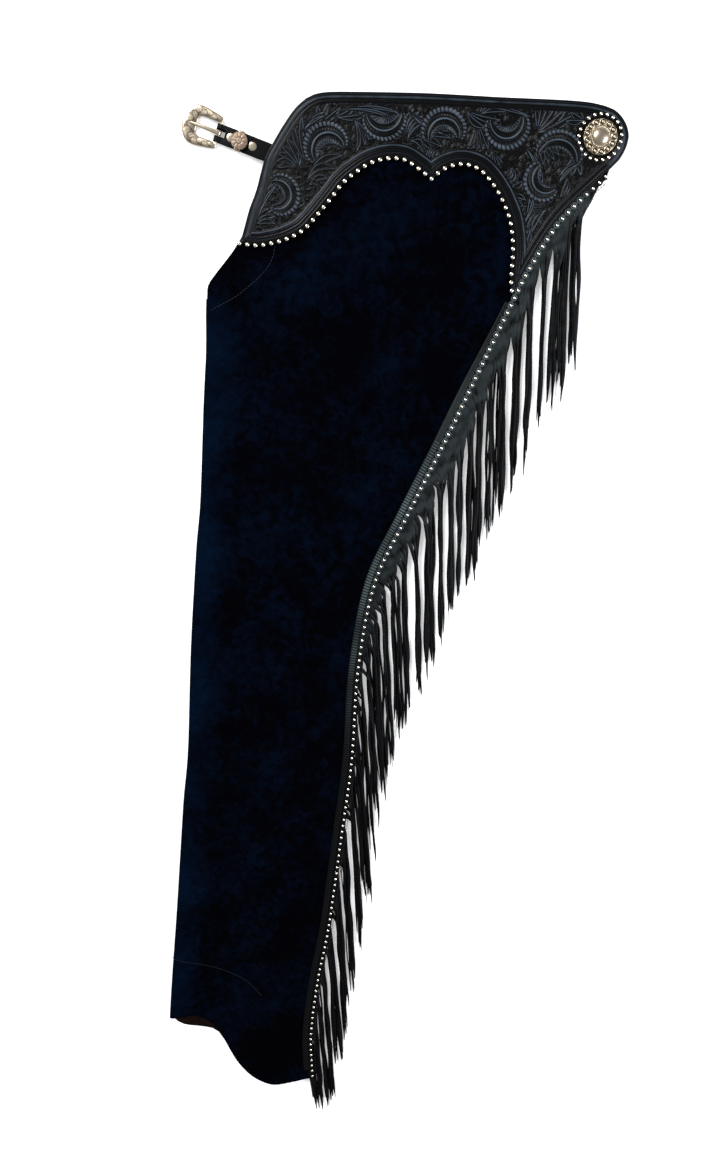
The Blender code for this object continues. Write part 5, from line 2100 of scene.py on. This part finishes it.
@dataclass(frozen=True)
class Keeper:
    """The metal loop that slides on the strap, and the rosette that it carries."""

    wardrobe: Wardrobe
    wall: float = 1.1
    clear: float = 0.4
    half_length: float = 2.8
    corner: float = 1.2
    loop_steps: int = 96
    loop_sides: int = 16
    rosette_radius: float = 8.2
    petals: int = 9
    rosette_steps: int = 40
    rosette_turns: int = 180

    def loop(self) -> None:
        """The loop: a flat section with round edges carried round a rounded rectangle."""
        half = STRAP_WIDTH / 2 + self.clear + self.wall / 2
        low = LOWER_PLY_LEVEL - STRAP_LEATHER / 2 - self.clear - self.wall / 2
        high = STRAP_TOP + self.clear + self.wall / 2
        turn = full_turn(self.loop_steps)
        corner = self.corner
        across = np.clip(np.cos(turn) * 40, -(half - corner), half - corner) + corner * np.cos(turn)
        height = (high + low) / 2 + np.clip(np.sin(turn) * 40, -((high - low) / 2 - corner),
                                            (high - low) / 2 - corner) + corner * np.sin(turn)
        tangent = np.column_stack([np.roll(across, -1) - np.roll(across, 1),
                                   np.roll(height, -1) - np.roll(height, 1)])
        tangent /= np.linalg.norm(tangent, axis=1)[:, None]
        section = full_turn(self.loop_sides)
        wide = squarer(np.cos(section), 0.4) * self.half_length
        deep = squarer(np.sin(section), 0.5) * self.wall / 2
        points = strap_place(KEEPER_ALONG + wide[None],
                             across[:, None] + tangent[:, 1:] * deep[None],
                             height[:, None] - tangent[:, :1] * deep[None])
        faces = grid_faces(self.loop_steps, self.loop_sides, closed_rows=True, closed_columns=True)
        piece = add_piece("strap_keeper_loop", points, [faces], self.wardrobe.silver, "keeper",
                          ["strap_keeper"],
                          marks={"relief": np.full(self.loop_steps * self.loop_sides, 0.85)})
        tidy_mesh(piece)

    def rosette(self) -> None:
        """The rosette: petals round a button, cut by lines that run out to a beaded edge."""
        steps, turns = self.rosette_steps, self.rosette_turns
        angle = full_turn(turns)[None]
        away = np.linspace(0.01, 1, steps)[:, None]
        petal = np.abs(np.cos(angle * self.petals / 2)) ** 0.6
        height = 1.5 + 0.75 * dome(away) * (0.86 + 0.14 * petal)
        height = height - 0.35 * np.exp(-((away - 0.36) / 0.05) ** 2)
        height = height - 0.14 * (1 - petal) * ease(away, 0.36, 0.5) * (1 - ease(away, 0.82, 0.9))
        height = height + 0.16 * np.cos(angle * 36) * np.exp(-((away - 0.92) / 0.06) ** 2)
        edge = np.vstack([np.full((1, turns), 0.75), np.zeros((1, turns))])
        radii = np.vstack([away, [[1.0]], [[0.96]]]) * self.rosette_radius
        levels = np.vstack([height + 0 * angle, edge])
        base = STRAP_TOP + self.clear + self.wall + GAP
        x, y, _ = strap_place(np.array(KEEPER_ALONG), 0.0, 0.0)
        points = np.stack([x + radii * np.cos(angle), y + radii * np.sin(angle), base + levels],
                          axis=-1)
        piece = add_piece("keeper_rosette_cast", points, tube_faces(steps + 2, turns),
                          self.wardrobe.rose, "keeper", ["keeper_rosette"],
                          sharp=70, marks={"relief": np.clip((levels - 1.3) / 0.9, 0, 1)})
        tidy_mesh(piece)

    def build(self) -> None:
        """Makes the loop and the rosette."""
        self.loop()
        self.rosette()


# The studio

@dataclass(frozen=True)
class Studio:
    """Pale floor, soft light and the camera at the photograph's angle."""

    lens: float = 30.87
    sensor: float = 36.0
    tilt: float = 16.0
    distance: float = 1.09
    aim_x: float = -0.0105
    aim_y: float = 0.1045
    aim_z: float = 0.0075
    near: float = 0.05
    far: float = 20.0
    floor_half: float = 4.0
    floor_level: float = -0.0003
    sky: str = "#f6f7f9"
    sky_strength: float = 0.42

    def camera(self) -> None:
        """The camera looks down at the cloth, tipped a little towards its foot."""
        data = bpy.data.cameras.new("camera")
        data.lens, data.sensor_width = self.lens, self.sensor
        data.clip_start, data.clip_end = self.near, self.far
        camera = bpy.data.objects.new("camera", data)
        tilt = math.radians(self.tilt)
        camera.location = (self.aim_x, self.aim_y + self.distance * math.sin(tilt),
                           self.aim_z + self.distance * math.cos(tilt))
        camera.rotation_euler = (-tilt, 0.0, 0.0)
        bpy.context.scene.collection.objects.link(camera)
        bpy.context.scene.camera = camera

    def floor(self) -> None:
        """A plain sheet of acrylic under everything."""
        half, level = self.floor_half, self.floor_level
        mesh = bpy.data.meshes.new("floor")
        corners = [(-half, -half, level), (half, -half, level), (half, half, level),
                   (-half, half, level)]
        mesh.from_pydata(corners, [], [(0, 1, 2, 3)])
        mesh.materials.append(OpalAcrylic().build())
        floor = bpy.data.objects.new("floor", mesh)
        bpy.context.scene.collection.objects.link(floor)

    def softbox(self, name: str, place: tuple[float, float, float], size: tuple[float, float],
                power: float, colour: str) -> None:
        """One rectangular light, turned to the middle of the chaps.

        Args:
            name: its name.
            place: its place in metres.
            size: its width and height in metres.
            power: its power in watts.
            colour: its colour as #rrggbb.
        """
        data = bpy.data.lights.new(name, "AREA")
        data.shape, data.size, data.size_y = "RECTANGLE", *size
        data.energy, data.color = power, linear(colour)[:3]
        light = bpy.data.objects.new(name, data)
        light.location = place
        aim = np.array([0.0, 0.15, 0.0]) - np.array(place)
        yaw, pitch = math.atan2(aim[1], aim[0]), math.atan2(-aim[2], math.hypot(aim[0], aim[1]))
        light.rotation_euler = (0.0, pitch - math.pi / 2, yaw)
        bpy.context.scene.collection.objects.link(light)

    def build(self) -> None:
        """Sets up the camera, the floor and the lights."""
        self.camera()
        self.floor()
        world = bpy.data.worlds.new("studio")
        world.use_nodes = True
        background = world.node_tree.nodes["Background"].inputs
        background["Color"].default_value = linear(self.sky)
        background["Strength"].default_value = self.sky_strength
        bpy.context.scene.world = world
        bpy.context.scene.view_settings.view_transform = "Standard"
        self.softbox("key", (-1.3, 1.8, 1.7), (1.5, 1.1), 104, "#ffffff")
        self.softbox("fill", (2.0, -0.1, 1.4), (1.4, 1.2), 62, "#f3f6ff")


def main() -> None:
    """Builds every piece in order."""
    logging.basicConfig(level=logging.INFO, format="%(name)s %(message)s")
    Studio().build()
    wardrobe = Wardrobe.build()
    SuedeLeg(wardrobe, Layer.UPPER).build()
    SuedeLeg(wardrobe, Layer.UNDER, rows=180, columns=56, opening_rows=18).build()
    yoke = Yoke(wardrobe, Layer.UPPER)
    yoke.build()
    yoke.stitching()
    Yoke(wardrobe, Layer.UNDER, rows=80, front_columns=140, back_columns=90,
         seam_columns=90).build()
    Studs(wardrobe).build()
    Concho(wardrobe).build()
    Fringe(wardrobe, "yoke_fringe_strands", "yoke_fringe", Layer.UPPER, 1.5, 140, seed=11).build()
    Fringe(wardrobe, "thigh_fringe_strands", "thigh_fringe", Layer.UPPER, 146, 468,
           seed=12).build()
    Fringe(wardrobe, "calf_fringe_strands", "calf_fringe", Layer.UPPER, 470, 1126, seed=13,
           pitch=6.6, gather=0.8, strays=0.2, drawn_within=20.0, narrowest=1.0,
           widest=2.1).build()
    Fringe(wardrobe, "under_fringe_strands", "hidden_fringe", Layer.UNDER, 4, 1110, seed=14,
           pitch=9.0, longest_web=16.0, gather=0.95, rows=24, web_rows=8, drawn_within=20.0,
           narrowest=0.9, widest=1.7).build()
    SeamTrim(wardrobe).build()
    SuedeSewing(wardrobe).build()
    FrontStrap(wardrobe).build()
    Buckle(wardrobe).build()
    Keeper(wardrobe).build()


if __name__ == "__main__":
    main()
